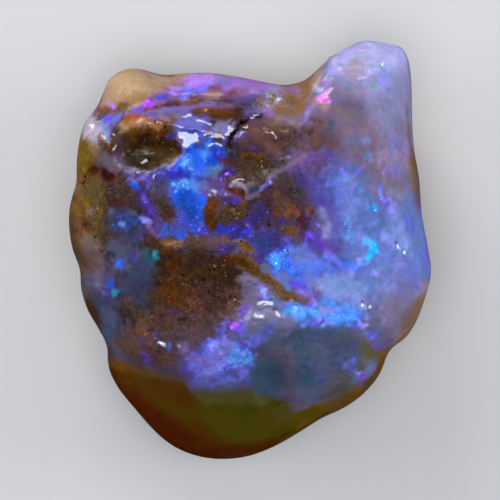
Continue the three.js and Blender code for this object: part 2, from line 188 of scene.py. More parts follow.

# Where each colour lies, in the order that it is laid on. Each stroke has its kind, colour, strength, radius,
# soft edge and points. Some are painted highlights where glints of the key softbox stand, and some are
# painted shade along the amber end's rim.
PAINT = [
    # Ground colours.
    ("milk", "milk_sky", 1, 90, 60, (360, 120), (370, 250), (345, 330)),
    ("milk", "horn_milk", 1, 34, 20, (355, 62), (385, 75), (388, 110)),
    ("milk", "ash_mauve", 1, 26, 24, (318, 110), (322, 135), (300, 128)),
    ("milk", "ash_mauve", 1, 24, 24, (372, 150), (382, 185)),
    ("milk", "ash_mauve", 1, 16, 16, (345, 110), (375, 140)),
    ("milk", "heather_pink", 1, 20, 14, (120, 92), (180, 92), (240, 96), (300, 112)),
    ("clay", "umber_mauve", 1, 46, 26, (118, 140), (125, 200), (130, 235)),
    ("clay", "umber_mauve", 1, 30, 20, (96, 250), (100, 300)),
    ("clay", "plum", 1, 38, 24, (235, 130), (240, 180), (245, 225)),
    ("clay", "plum", 1, 34, 26, (275, 150), (280, 200), (275, 235)),
    ("milk", "dusk_violet", 1, 22, 20, (310, 170), (316, 215), (318, 262)),
    ("milk", "field_blue", 1, 24, 18, (188, 140), (190, 180), (186, 215)),
    ("clay", "umber", 1, 52, 26, (150, 265), (185, 285), (180, 320), (150, 310)),
    ("clay", "umber", 1, 30, 20, (215, 280), (220, 320)),
    ("clay", "ochre_brown", 1, 18, 14, (82, 160), (80, 210), (82, 255)),
    ("milk", "slate_plum", 1, 20, 16, (98, 275), (102, 320), (112, 350)),
    ("milk", "heather", 1, 20, 16, (135, 350), (170, 352), (215, 345)),
    ("milk", "lilac_blue", 0.6, 24, 20, (200, 352), (235, 348)),
    ("milk", "steel_blue", 1, 32, 18, (260, 362), (310, 362)),
    ("milk", "steel_blue", 1, 24, 16, (220, 372), (250, 385)),
    ("milk", "heather_grey", 1, 26, 18, (345, 340), (375, 325), (395, 330)),
    ("milk", "milk_sky", 1, 24, 24, (300, 285), (330, 300)),
    # Tan lobe and long rim.
    ("potch", "pale_tan", 1, 23, 10, (117, 85), (132, 88)),
    ("potch", "tan", 0.9, 10, 9, (138, 80), (142, 90)),
    ("potch", "pink_tan", 0.9, 9, 8, (154, 86), (160, 84)),
    ("potch", "pale_tan", 0.9, 6, 7, (163, 79), (168, 81)),
    ("potch", "pink_tan", 0.8, 7, 8, (109, 94), (103, 104)),
    ("potch", "peach_clay", 0.8, 5, 6, (124, 101), (142, 99)),
    ("potch", "pink_tan", 0.9, 7, 7, (177, 78), (184, 77)),
    ("milk", "rim_lilac", 1, 11, 8, (222, 84), (250, 86), (270, 90), (288, 91)),
    ("milk", "orchid", 1, 9, 7, (192, 81), (206, 79)),
    ("fire", "orchid", 1, 3.5, 4, (187, 79), (196, 82)),
    ("fire", "orchid", 0.9, 3.5, 4, (208, 77), (218, 77)),
    ("fire", "violet_blue", 0.9, 5, 5, (186, 93), (196, 90), (204, 87)),
    ("milk", "violet_milk", 0.9, 5, 5, (220, 82), (228, 81)),
    ("potch", "rose_brown", 0.9, 3.5, 4, (212, 90), (219, 90)),
    ("potch", "pink_tan", 0.9, 4, 4, (208, 97), (216, 96)),
    ("potch", "rose_brown", 0.9, 3.5, 4, (230, 95), (238, 92)),
    ("milk", "heather_pink", 0.9, 3.5, 4, (242, 90), (248, 90)),
    ("milk", "milk_lavender", 0.6, 2.5, 3, (253, 93), (256, 94)),
    ("milk", "dusk_violet", 0.9, 3.5, 4, (236, 100), (250, 100), (258, 98)),
    ("milk", "heather_pink", 0.8, 5, 6, (284, 92), (294, 92)),
    # Tan valley behind the horn.
    ("clay", "mauve_tan", 1, 15, 9, (272, 107), (290, 108)),
    ("clay", "tan_brown", 0.9, 6, 6, (291, 100), (300, 102)),
    ("clay", "clay_tan", 1, 4, 4, (303, 90), (302, 102), (299, 112)),
    ("clay", "clay_tan", 0.9, 4, 5, (312, 76), (310, 88), (309, 98)),
    ("clay", "peach_clay", 0.8, 6, 7, (276, 125), (262, 126)),
    # Painted highlight: a pale ring round the small bubble, beside its raised ring in the relief.
    ("milk", "milk_grey", 0.8, 2.2, 2, (265, 103), (264, 95), (270, 91), (278, 93), (280, 101), (275, 104)),
    # Groove under the rim.
    ("potch", "orange_brown", 0.9, 3, 4, (98, 114), (107, 110), (117, 112)),
    ("clay", "ochre_brown", 0.9, 3.5, 4, (120, 107), (130, 105)),
    ("fire", "orchid", 0.9, 2, 2.5, (112, 106)),
    ("clay", "rust", 0.9, 3.5, 4, (148, 111), (160, 108)),
    ("milk", "violet_milk", 0.9, 4, 5, (156, 101), (168, 96), (176, 92)),
    ("fire", "magenta_fire", 1, 4, 3.5, (147, 104), (152, 102)),
    ("fire", "ultramarine", 0.9, 3, 4, (158, 100), (164, 98)),
    ("fire", "orchid", 0.9, 3, 4, (172, 92), (176, 89)),
    ("fire", "violet_fire", 1, 2.5, 3, (136, 111), (142, 108)),
    ("clay", "maroon", 0.9, 4, 4, (168, 106), (178, 105)),
    ("clay", "rose_brown", 0.9, 4, 4, (186, 105), (194, 100)),
    ("clay", "ochre_brown", 0.8, 2.6, 3, (194, 103), (201, 102)),
    ("milk", "violet_milk", 0.8, 2.5, 3, (184, 109), (214, 107)),
    ("milk", "heather_pink", 0.9, 2.5, 3, (221, 108), (230, 107)),
    ("clay", "rust", 1, 2.5, 3, (192, 113), (208, 112)),
    ("clay", "brown", 1, 5, 3, (214, 115), (228, 115), (240, 112)),
    ("clay", "brown", 0.9, 4, 3, (228, 119), (232, 122)),
    ("clay", "dark_brown", 0.9, 2.4, 2, (233, 113), (243, 110)),
    # Painted highlight: the yellow glint in the groove.
    ("clay", "yellow_glint", 1, 1.5, 1.5, (205, 111)),
    ("milk", "violet_milk", 1, 1.5, 2, (106, 119), (124, 115.5), (144, 114.5), (161, 113), (185, 108.5)),
    ("milk", "lilac_blue", 0.8, 4, 5, (248, 112), (256, 114)),
    ("milk", "rim_lilac", 0.8, 3, 4, (264, 113), (270, 116)),
    # White shoulder.
    ("milk", "shoulder_white", 1, 10, 9, (89, 127), (96, 134)),
    ("milk", "lilac_blue", 1, 5, 5, (110, 123), (117, 120)),
    ("milk", "violet_milk", 0.9, 3, 4, (104, 128), (110, 131)),
    ("fire", "violet_fire", 0.9, 2, 2.5, (106, 120), (110, 119)),
    ("milk", "mauve_tan", 0.8, 6, 6, (88, 142), (98, 146)),
    # Oval pit.
    ("clay", "brown", 1, 20, 7, (134, 142), (160, 144)),
    ("clay", "ochre_brown", 0.8, 3, 3, (121, 130), (124, 123)),
    ("clay", "bright_rust", 1, 3, 3, (125, 121), (132, 118.5), (142, 119), (149, 122)),
    ("potch", "tan", 0.9, 4, 4, (124, 129), (132, 126)),
    ("potch", "pink_tan", 0.7, 3.5, 4, (136, 127), (144, 129)),
    ("clay", "rust", 0.8, 4, 4, (136, 133), (150, 135)),
    ("milk", "violet_milk", 0.7, 2.5, 3, (152, 119), (158, 121)),
    ("clay", "rust", 0.9, 4, 3.5, (158, 126), (166, 125), (175, 121)),
    ("potch", "pink_tan", 0.7, 2.2, 2.5, (162, 119), (170, 122)),
    ("clay", "ochre_brown", 0.8, 5, 5, (162, 131), (172, 129)),
    ("clay", "olive_brown", 1, 11, 6, (136, 152), (150, 155)),
    ("clay", "brown", 1, 10, 6, (150, 144), (166, 146), (176, 150)),
    ("clay", "dark_brown", 0.8, 6, 5, (148, 140), (156, 148), (162, 152)),
    ("milk", "umber_mauve", 1, 5, 4, (124, 141), (124, 153)),
    ("fire", "maroon", 0.9, 3, 3, (126, 140)),
    ("clay", "ochre_brown", 0.9, 3.5, 4, (104, 145), (107, 151)),
    ("clay", "brown", 0.9, 3, 3, (112, 148), (113, 158)),
    ("clay", "dark_brown", 0.9, 3, 3, (102, 154), (107, 154)),
    ("milk", "slate_plum", 0.9, 5, 5, (112, 163), (124, 168)),
    ("milk", "grey_mauve", 0.8, 4, 4, (102, 162), (112, 168)),
    ("clay", "pink_brown", 0.9, 1.2, 1.2, (160, 162), (172, 157), (182, 149)),
    # Painted highlight: a thin light line on the pit's right rim.
    ("milk", "milk_grey", 0.8, 1.3, 1.5, (186, 152), (187, 144), (182, 138)),
    # Brown flank.
    ("clay", "olive_gold", 1, 8, 7, (84, 145), (84, 160)),
    ("clay", "tan_brown", 1, 6, 5, (78, 170), (78, 190)),
    ("clay", "tan_brown", 1, 8, 8, (70, 205), (70, 235), (76, 250)),
    ("clay", "tan_brown", 1, 9, 8, (90, 190), (92, 205)),
    ("clay", "olive", 1, 7, 6, (97, 190), (102, 210)),
    ("clay", "olive_gold", 0.9, 3.5, 4, (86, 200), (88, 206)),
    ("clay", "olive_gold", 0.7, 2.5, 3, (81, 213), (83, 214)),
    ("clay", "dark_rust", 1, 3, 2.5, (93, 170), (100, 171)),
    ("clay", "dark_rust", 1, 3, 2.5, (106, 176), (114, 181)),
    ("clay", "dark_rust", 0.9, 1.6, 2, (83, 183), (85, 184)),
    ("clay", "olive", 1, 7, 5, (84, 226), (92, 229)),
    ("clay", "dark_rust", 0.7, 3, 4, (79, 245), (84, 256)),
    ("milk", "mauve_grey", 0.9, 9, 9, (97, 262), (105, 280)),
    # Upper blue field.
    ("clay", "mauve_brown", 0.8, 10, 10, (122, 170), (130, 180)),
    ("milk", "violet_milk", 0.6, 6, 7, (118, 163), (140, 176)),
    ("clay", "rust", 0.6, 3, 4, (118, 202), (123, 204)),
    ("fire", "azure", 0.95, 3, 3, (133, 186), (141, 188)),
    ("fire", "azure", 0.8, 2.4, 3, (144, 194), (146, 197)),
    ("fire", "violet_fire", 0.8, 4, 6, (147, 203), (153, 213)),
    ("fire", "milk_lavender", 0.8, 2.5, 3, (113, 213), (115, 213)),
    ("milk", "milk_lavender", 0.8, 3, 3.5, (130, 215), (135, 215)),
    ("fire", "violet_fire", 0.7, 4, 6, (145, 222), (158, 230)),
    ("clay", "tan_brown", 0.8, 3, 3, (150, 226), (154, 228)),
    ("clay", "pink_brown", 0.9, 9, 8, (164, 206), (172, 213)),
    ("clay", "red_brown", 0.6, 5, 5, (165, 222), (172, 200)),
    ("fire", "deep_blue", 0.8, 8, 9, (150, 180), (165, 172), (180, 165)),
    ("fire", "violet_fire", 0.7, 5, 6, (150, 180), (152, 184)),
    ("fire", "azure", 1, 15, 8, (190, 160), (212, 160)),
    ("fire", "azure", 1, 14, 8, (188, 195), (198, 205)),
    ("fire", "sky", 0.9, 6, 6, (190, 165), (200, 158), (210, 150)),
    ("fire", "sky", 0.9, 6, 7, (180, 188), (195, 187)),
    ("fire", "deep_blue", 0.8, 6, 6, (205, 180), (212, 172)),
    ("fire", "deep_blue", 0.9, 5, 5, (214, 152), (218, 160)),
    ("fire", "deep_blue", 0.8, 4, 5, (171, 141), (176, 142)),
    ("fire", "violet_fire", 0.9, 5, 6, (184, 216), (190, 222)),
    ("fire", "azure", 0.9, 5, 5, (165, 233), (182, 232)),
    ("fire", "azure", 0.7, 6, 7, (195, 215), (197, 222)),
    ("fire", "deep_blue", 0.7, 5, 6, (184, 176), (172, 178)),
    ("milk", "milk_lavender", 0.8, 4, 6, (205, 188), (212, 192)),
    ("clay", "pink_brown", 0.9, 6, 6, (213, 176), (218, 186)),
    # Middle: knobs, curl, block and rib.
    ("milk", "lilac_blue", 1, 8, 7, (186, 124), (200, 124)),
    ("milk", "milk_grey", 0.7, 5, 5, (220, 130), (232, 128)),
    ("milk", "lilac_blue", 0.8, 5, 6, (228, 135), (244, 140)),
    ("clay", "dark_brown", 0.9, 2.5, 2.5, (214, 125)),
    ("clay", "brown", 0.9, 2.5, 2.5, (209, 134)),
    ("milk", "heather", 0.9, 6, 6, (252, 120), (262, 126)),
    ("milk", "heather_grey", 0.6, 5, 6, (280, 121), (300, 120)),
    ("clay", "crack", 1, 2, 1.8, (243, 122), (237, 130), (233, 136), (229, 144), (227, 150)),
    ("clay", "slate_plum", 0.9, 6, 6, (230, 152), (232, 160)),
    ("clay", "mauve_brown", 0.9, 4.5, 4, (222, 162), (226, 166)),
    ("clay", "brown", 0.8, 3, 3, (222, 170), (218, 178)),
    ("fire", "dim_violet", 0.9, 3, 2.5, (222, 178), (227, 173), (231, 173)),
    ("fire", "magenta_fire", 0.9, 1.4, 1.5, (222, 180), (226, 174)),
    ("clay", "olive_brown", 1, 11, 4, (248, 168), (260, 170)),
    ("clay", "orange_brown", 0.9, 2, 2, (240, 160), (248, 157), (256, 158), (264, 162)),
    ("clay", "rust", 0.5, 4, 4, (246, 164), (254, 163)),
    ("clay", "brown", 1, 5, 3, (236, 178), (246, 182), (262, 182)),
    ("milk", "violet_fire", 0.8, 2.5, 3, (252, 151), (255, 150)),
    ("milk", "slate", 0.8, 3.5, 4, (246, 186), (256, 190)),
    ("potch", "pale_olive", 0.8, 1.6, 2, (246, 185), (252, 184)),
    ("clay", "brown", 1, 9, 4, (230, 196), (240, 200)),
    ("clay", "rose_brown", 0.8, 3, 3, (238, 190), (243, 196), (241, 202)),
    ("milk", "violet_milk", 0.7, 3, 3, (222, 194), (228, 196)),
    ("fire", "dim_violet", 0.8, 3, 3.5, (225, 202), (233, 202)),
    ("clay", "olive_brown", 1, 6, 3, (214, 203), (210, 215), (212, 226)),
    ("clay", "rust", 0.8, 3, 3, (214, 202), (208, 212)),
    ("clay", "tan_brown", 0.6, 10, 4, (226, 218), (240, 212)),
    ("clay", "olive_brown", 0.7, 4, 4, (226, 210), (240, 208)),
    ("clay", "pink_brown", 0.7, 4, 4, (222, 224), (230, 222)),
    (
        "milk", "rib_white", 0.5, 1.8, 2.2, (306, 159), (299, 160), (290, 165), (283, 169), (274, 175),
        (266, 180),
    ),
    ("milk", "rib_white", 0.8, 2.2, 2.4, (264, 186), (256, 194), (248, 197)),
    ("milk", "violet_milk", 0.8, 4, 5, (288, 172), (298, 170)),
    ("fire", "violet_fire", 0.9, 1.8, 2.5, (268, 182), (262, 190)),
    # Violet valley and maroon ground.
    ("milk", "mauve_brown", 0.9, 14, 12, (285, 190), (300, 215)),
    ("clay", "red_brown", 0.7, 8, 8, (290, 195), (300, 220)),
    ("clay", "pink_brown", 0.8, 3.5, 4, (275, 213), (286, 214)),
    ("clay", "pink_brown", 0.8, 3.5, 4, (288, 207), (296, 210)),
    ("clay", "tan_brown", 0.8, 4, 4, (286, 229), (298, 233)),
    ("clay", "maroon", 0.8, 8, 8, (305, 213), (306, 236)),
    ("fire", "deep_violet", 1, 7, 8, (240, 225), (262, 214)),
    ("fire", "deep_blue", 1, 5, 6, (205, 231), (240, 233), (270, 236)),
    ("fire", "ultramarine", 0.8, 3, 4, (246, 230), (251, 233)),
    ("fire", "violet_fire", 0.7, 2.5, 3, (262, 227), (267, 230)),
    ("fire", "deep_violet", 0.9, 3.5, 3, (281, 221), (282, 222)),
    ("fire", "deep_blue", 0.8, 8, 8, (258, 245), (280, 240)),
    ("fire", "deep_violet", 0.8, 7, 8, (262, 258), (275, 245)),
    # Brown field.
    ("clay", "pink_brown", 0.9, 6, 5, (190, 243), (225, 241)),
    ("milk", "heather", 0.6, 5, 5, (205, 246), (220, 244)),
    ("clay", "tan_brown", 0.9, 3, 3, (168, 246), (180, 244)),
    ("fire", "teal_fire", 0.9, 2.4, 2.5, (157, 254), (159, 257)),
    ("clay", "olive_brown", 1, 10, 9, (190, 275), (212, 267)),
    ("clay", "dark_rust", 0.6, 8, 8, (180, 258), (165, 290)),
    ("clay", "strip_brown", 0.6, 10, 10, (195, 255), (170, 300)),
    ("clay", "dark_brown", 0.5, 8, 9, (215, 290), (195, 312)),
    ("clay", "olive", 0.5, 5, 6, (152, 296), (158, 292)),
    ("clay", "mauve_brown", 0.8, 8, 9, (140, 325), (175, 315)),
    ("clay", "olive_brown", 0.6, 6, 7, (130, 306), (145, 318)),
    ("fire", "deep_violet", 0.25, 5, 6, (178, 310), (190, 330)),
    ("clay", "bright_rust", 0.5, 2, 3, (137, 331), (147, 331)),
    ("clay", "mauve_brown", 0.9, 9, 8, (165, 355), (150, 350)),
    ("milk", "dusk_smoke", 0.6, 5, 5, (155, 366), (175, 369)),
    # Painted highlight: pale grey round the glint on the knob.
    ("milk", "milk_grey", 0.7, 1.6, 1.8, (158, 337), (165, 340)),
    ("fire", "violet_fire", 0.7, 1.6, 3, (142, 350), (144, 351)),
    ("fire", "deep_violet", 0.6, 1.8, 3, (147, 354), (149, 360)),
    # Teal and blue-grey flank.
    ("fire", "slate_blue", 0.8, 8, 9, (135, 235), (130, 262)),
    ("milk", "teal_grey", 0.9, 9, 9, (145, 270), (133, 285)),
    ("fire", "azure", 1, 2.6, 2.8, (124, 260), (122, 267)),
    ("fire", "azure", 0.8, 3, 3, (111, 282), (113, 286)),
    ("fire", "azure", 0.8, 2.8, 3, (116, 293), (120, 292)),
    ("fire", "deep_violet", 0.6, 5, 6, (104, 278), (108, 292)),
    ("clay", "red_brown", 0.7, 3, 4, (117, 243), (121, 244)),
    ("clay", "brown", 0.6, 4, 5, (150, 240), (156, 246)),
    ("milk", "slate", 1, 7, 7, (112, 305), (114, 340)),
    ("fire", "slate_blue", 0.7, 4, 5, (109, 325), (112, 338)),
    ("milk", "slate", 0.9, 5, 6, (116, 345), (122, 355)),
    ("clay", "rust", 0.9, 4.5, 3.5, (90, 308), (99, 326), (104, 336)),
    # Shelf strip and wet shelf.
    ("milk", "milk_grey", 0.8, 5, 6, (248, 280), (258, 290)),
    ("milk", "wet_grey", 1, 13, 9, (258, 312), (275, 318)),
    ("milk", "milk_grey", 0.7, 6, 6, (247, 325), (262, 312)),
    ("fire", "violet_fire", 0.8, 4, 5, (240, 312), (250, 306)),
    ("fire", "violet_fire", 0.9, 3.5, 4, (230, 325), (242, 321)),
    ("fire", "pink_fire", 1, 2, 1.6, (234, 324), (238, 322)),
    ("clay", "tan_brown", 1, 5, 4, (243, 245), (250, 248)),
    ("clay", "brown", 1, 5, 3.5, (228, 256), (243, 260), (254, 270)),
    ("clay", "strip_brown", 1, 5, 3, (256, 272), (268, 280), (282, 290), (294, 301)),
    ("clay", "tan_brown", 0.7, 2, 2, (240, 264), (254, 276), (266, 287), (280, 297)),
    # Cyan shelf and right of the strip.
    ("fire", "azure", 1, 8, 8, (278, 262), (300, 272)),
    ("fire", "cyan", 1, 4, 4, (291, 268), (296, 269)),
    ("fire", "sky", 0.8, 5, 6, (285, 262), (275, 260)),
    ("fire", "violet_fire", 0.8, 4, 5, (288, 281), (298, 284)),
    ("milk", "milk_blue", 0.9, 8, 8, (300, 258), (312, 276)),
    ("fire", "orchid", 0.6, 4, 5, (303, 290), (312, 300)),
    ("clay", "mauve", 0.8, 5, 5, (316, 290), (320, 299)),
    ("fire", "sky", 1, 7, 6, (292, 307), (312, 312)),
    ("fire", "azure", 0.9, 9, 8, (318, 268), (340, 262)),
    ("milk", "milk_lavender", 0.7, 8, 9, (325, 283), (355, 296)),
    ("fire", "sky", 0.95, 9, 7, (325, 305), (350, 312)),
    ("fire", "azure", 0.7, 5, 5, (345, 315), (355, 318)),
    ("fire", "violet_fire", 0.8, 2.6, 3, (303, 318), (330, 322)),
    ("fire", "milk_lavender", 0.9, 2.6, 3, (360, 323), (364, 326)),
    ("fire", "violet_fire", 0.8, 3, 3.5, (368, 330), (374, 334)),
    ("fire", "milk_lavender", 0.7, 3, 4, (366, 294), (369, 297)),
    # Milky side.
    ("fire", "violet_fire", 0.7, 5, 6, (307, 160), (325, 158)),
    ("fire", "violet_fire", 0.6, 6, 7, (312, 240), (322, 250)),
    ("fire", "violet_fire", 0.6, 6, 7, (328, 245), (333, 262)),
    ("milk", "mauve_grey", 0.7, 5, 6, (325, 206), (335, 222)),
    ("milk", "milk_grey", 0.7, 2, 2.6, (316, 213), (322, 218), (326, 226), (331, 236)),
    ("fire", "milk_lavender", 0.8, 4, 5, (330, 180), (342, 178), (352, 182)),
    ("fire", "ultramarine", 0.6, 5, 7, (320, 200), (335, 205)),
    ("fire", "sky_grey", 0.8, 3.4, 4, (352, 184), (362, 196), (368, 204)),
    ("fire", "cyan", 1, 3, 2.6, (369, 208), (372, 209)),
    ("fire", "cyan", 1, 3.4, 2.4, (364, 240), (367, 243)),
    ("fire", "cyan", 1, 3.6, 2.4, (371, 247), (369, 252)),
    ("fire", "cyan", 0.9, 2.6, 2.4, (366, 256), (363, 262)),
    ("fire", "milk_lavender", 0.9, 2, 2.4, (361, 256), (361, 259)),
    ("fire", "violet_fire", 0.6, 4.5, 5, (381, 203), (386, 210)),
    ("milk", "milk_grey", 0.7, 4, 5, (388, 193), (399, 197)),
    ("fire", "milk_lavender", 0.8, 4, 6, (398, 230), (402, 246)),
    ("fire", "milk_lavender", 0.7, 6, 7, (402, 256), (396, 262)),
    ("fire", "violet_fire", 0.6, 3, 4, (412, 220), (413, 232)),
    ("fire", "violet_fire", 0.5, 3, 4, (424, 250), (425, 262)),
    ("fire", "milk_lavender", 0.7, 3, 4, (347, 272), (351, 279)),
    ("fire", "milk_lavender", 0.7, 2, 2.6, (372, 274), (375, 277)),
    ("milk", "tan", 0.8, 5, 5, (413, 168), (416, 185)),
    ("milk", "mauve", 0.7, 6, 7, (414, 180), (419, 205)),
    ("milk", "tan_brown", 1, 3.2, 3, (408, 128), (411, 150), (416, 172)),
    # Horn.
    ("milk", "milk_white", 0.9, 12, 14, (372, 50), (398, 58)),
    ("milk", "milk_lavender", 0.9, 12, 14, (340, 60), (352, 50)),
    ("milk", "pale_grey_tan", 0.8, 7, 7, (355, 66), (352, 72)),
    ("milk", "milk_white", 0.7, 6, 7, (371, 60), (374, 68)),
    ("milk", "milk_white", 0.6, 8, 9, (394, 68), (390, 78)),
    ("fire", "pink_fire", 1, 3, 1.4, (321, 103), (324, 98), (326, 104)),
    ("milk", "pale_tan", 0.8, 4, 5, (316, 72), (313, 90)),
    ("milk", "pale_tan", 0.4, 3, 3, (316, 106), (322, 110)),
    ("fire", "green_fire", 0.8, 1.6, 2.5, (370, 86), (372, 88)),
    ("fire", "green_fire", 0.5, 2.2, 2.6, (392, 104), (394, 108)),
    ("fire", "green_fire", 0.5, 2, 2.4, (369, 106), (375, 111)),
    ("fire", "sky_grey", 0.8, 2.8, 3, (387, 92), (389, 94)),
    ("fire", "milk_lavender", 0.7, 3, 4, (383, 83), (386, 85)),
    ("fire", "teal_grey", 0.8, 3, 4, (327, 126), (329, 129)),
    ("fire", "sky_grey", 0.3, 3, 4, (361, 142), (364, 145)),
    ("fire", "sky_grey", 0.3, 3, 4, (365, 157), (368, 160)),
    ("fire", "slate_blue", 0.7, 4, 5, (390, 144), (397, 147)),
    ("fire", "orchid", 0.6, 3, 4, (402, 144), (404, 156)),
    ("milk", "maroon", 0.7, 9, 10, (318, 146), (325, 140)),
    # Violet fire patch over the amber end.
    ("milk", "dusk_violet", 0.8, 14, 14, (190, 362), (205, 378), (240, 378)),
    ("fire", "violet_blue", 1, 13, 8, (205, 362), (222, 352), (238, 358)),
    ("fire", "lavender_fire", 0.95, 9, 7, (204, 360), (213, 350), (222, 345)),
    ("fire", "sky_fire", 0.9, 6, 5, (234, 350), (242, 358), (238, 364)),
    ("fire", "lavender_fire", 0.7, 4, 5, (206, 370), (214, 370)),
    ("fire", "violet_fire", 0.85, 4, 5, (196, 357), (190, 364), (186, 371)),
    ("fire", "violet_fire", 0.8, 3, 3.5, (242, 345), (246, 348)),
    ("fire", "violet_blue", 0.9, 7, 7, (214, 374), (232, 371), (246, 368)),
    ("fire", "violet_blue", 0.7, 5, 6, (195, 376), (210, 381), (225, 380)),
    ("fire", "mauve_fire", 0.7, 3, 4, (236, 369), (241, 370)),
    ("fire", "violet_blue", 0.8, 4, 5, (254, 341), (262, 334), (267, 327)),
    ("fire", "violet_fire", 0.8, 2.6, 3, (262, 333), (270, 325), (273, 322)),
    ("fire", "sky", 0.8, 3, 4, (244, 350), (249, 356)),
    ("fire", "milk_white", 0.8, 1.2, 1.2, (199, 357), (201, 358)),
    ("fire", "milk_white", 0.8, 1.2, 1.2, (205, 370.5), (207, 371)),
    ("fire", "milk_white", 0.8, 1.4, 1.2, (234.5, 363.5), (236, 364)),
    # Grey side under the brow.
    ("milk", "teal_grey", 1, 24, 12, (282, 362), (312, 352), (335, 350)),
    ("milk", "grey_mauve", 0.9, 10, 12, (284, 338), (289, 365), (288, 392)),
    ("milk", "slate", 0.9, 10, 9, (275, 340), (300, 336)),
    ("milk", "teal_grey", 0.9, 9, 9, (258, 372), (262, 390)),
    ("milk", "teal_deep", 0.8, 6, 8, (268, 372), (268, 390)),
    ("milk", "slate_dark", 0.5, 5, 6, (276, 360), (278, 372)),
    ("milk", "teal_deep", 0.9, 8, 9, (304, 340), (305, 360)),
    ("milk", "teal_deep", 0.6, 5, 7, (303, 370), (305, 392)),
    ("milk", "teal_grey", 0.8, 8, 9, (325, 350), (332, 362)),
    ("milk", "slate_blue", 0.55, 9, 9, (338, 362), (350, 360)),
    ("fire", "slate_blue", 0.8, 3.4, 4, (318, 366), (320, 376), (322, 380)),
    ("fire", "ultramarine", 0.8, 1.5, 1.8, (320, 378), (323, 380)),
    ("fire", "violet_blue", 0.9, 2.4, 2.6, (350, 356), (353, 360)),
    ("fire", "violet_blue", 0.8, 2, 2.4, (338, 358), (345, 364)),
    ("fire", "violet_blue", 0.8, 1.6, 2, (348, 366), (353, 371)),
    ("fire", "orchid", 1, 1.7, 1.6, (355, 370), (358, 373)),
    ("fire", "magenta_fire", 0.8, 3, 2.6, (360, 375), (362, 377)),
    ("milk", "grey_olive", 0.9, 6, 7, (358, 345), (364, 354), (360, 366)),
    ("milk", "pale_olive", 0.8, 5, 6, (366, 340), (368, 356)),
    ("milk", "mauve", 0.8, 5, 6, (362, 380), (357, 386)),
    ("milk", "grey_olive", 0.8, 7, 8, (338, 384), (350, 378)),
    ("milk", "slate", 0.8, 8, 9, (310, 396), (322, 394)),
    ("milk", "grey_mauve", 0.8, 7, 8, (285, 398), (300, 400)),
    ("fire", "milk_white", 0.7, 0.8, 0.8, (386, 323.5)),
    # Milky shoulder's tan edge.
    ("milk", "milk_grey", 0.8, 18, 14, (395, 285), (400, 300)),
    ("milk", "milk_grey", 0.7, 8, 9, (385, 310), (400, 322)),
    ("milk", "mauve_tan", 0.8, 8, 8, (404, 318), (396, 332)),
    ("milk", "tan", 0.8, 5, 6, (426, 285), (420, 308), (412, 326)),
    ("milk", "tan", 0.7, 6, 7, (400, 340), (410, 330)),
    ("fire", "milk_lavender", 0.6, 3, 4, (398, 292), (385, 283)),
    ("fire", "milk_lavender", 0.6, 3, 4, (417, 286), (418, 288)),
    ("milk", "heather_grey", 0.8, 7, 8, (374, 338), (384, 346)),
    ("fire", "violet_blue", 0.6, 3, 4, (368, 332), (372, 338)),
    ("milk", "violet_milk", 0.7, 5, 6, (374, 345), (384, 352)),
    ("amber", "amber_tan", 0.9, 5, 5, (388, 350), (384, 362), (378, 372)),
    ("milk", "amber_rust", 0.7, 4, 6, (366, 380), (372, 374)),
    # Amber end.
    ("amber", "amber_olive", 1, 32, 9, (122, 394), (160, 412), (200, 426), (240, 424), (268, 426)),
    # Dark red amber along the lower rim: its own colour, darkened there as painted shade.
    ("amber", "amber_red", 1, 20, 18, (112, 380), (130, 404), (155, 424), (180, 440), (205, 452)),
    ("amber", "amber", 0.9, 11, 12, (130, 378), (155, 386), (180, 398)),
    ("amber", "amber_tan", 0.8, 5, 7, (108, 362), (122, 364), (142, 369)),
    # Painted shade: darker amber along the bottom rim.
    ("amber", "amber_red", 0.8, 10, 12, (200, 448), (222, 452), (238, 456)),
    ("amber", "amber", 0.9, 8, 12, (196, 420), (205, 436), (225, 445)),
    ("amber", "amber", 0.7, 6, 8, (235, 450), (255, 444)),
    ("amber", "amber_olive", 0.8, 16, 14, (226, 420), (250, 420), (262, 432)),
    ("amber", "amber_green", 0.5, 8, 10, (238, 402), (250, 420)),
    ("amber", "grey_olive", 0.9, 6, 8, (200, 396), (225, 394), (250, 396), (262, 400)),
    ("amber", "amber_yellow", 1, 9, 6, (295, 420), (318, 412), (338, 406), (352, 396)),
    ("amber", "amber_yellow", 0.9, 6, 6, (345, 399), (362, 390), (374, 380)),
    ("amber", "grey_mauve", 0.25, 6, 8, (278, 412), (284, 420)),
    ("amber", "amber_olive", 0.8, 7, 8, (262, 412), (280, 424), (296, 428)),
    ("amber", "amber_tan", 0.8, 4, 5, (322, 404), (340, 402), (352, 394)),
    ("amber", "rose_brown", 0.6, 1.1, 1.6, (283, 404.5), (300, 403.5), (322, 404), (341, 404.5)),
    ("clay", "dark_brown", 1, 0.9, 0.9, (253, 411), (253.5, 411.5)),
    # Softer ground of the left flank and the pit.
    ("potch", "edge_brown", 0.9, 6, 6, (71, 198), (69, 225), (73, 248), (82, 268)),
    ("clay", "smoke_olive", 0.8, 9, 7, (96, 192), (100, 208)),
    ("clay", "bark", 0.7, 8, 7, (84, 196), (82, 214), (84, 236)),
    ("clay", "olive_gold", 0.9, 3.4, 3, (85, 198), (87, 208)),
    ("clay", "olive_gold", 0.9, 2.4, 2.4, (103, 211), (105, 215)),
    ("milk", "tan_shade", 0.8, 10, 9, (90, 240), (94, 262), (92, 290)),
    ("milk", "dusk_slate", 0.85, 13, 12, (122, 222), (134, 232), (136, 262), (142, 290), (136, 300)),
    ("milk", "dusk_slate", 0.8, 9, 9, (108, 275), (108, 300)),
    ("fire", "azure", 0.9, 2.6, 2.4, (124, 260), (122, 267)),
    ("fire", "azure", 0.8, 3, 2.6, (133, 254), (136, 259)),
    ("clay", "earth", 1, 9, 4, (146, 147), (164, 147), (174, 150)),
    ("clay", "olive_brown", 0.9, 6, 4, (130, 158), (146, 162), (160, 157)),
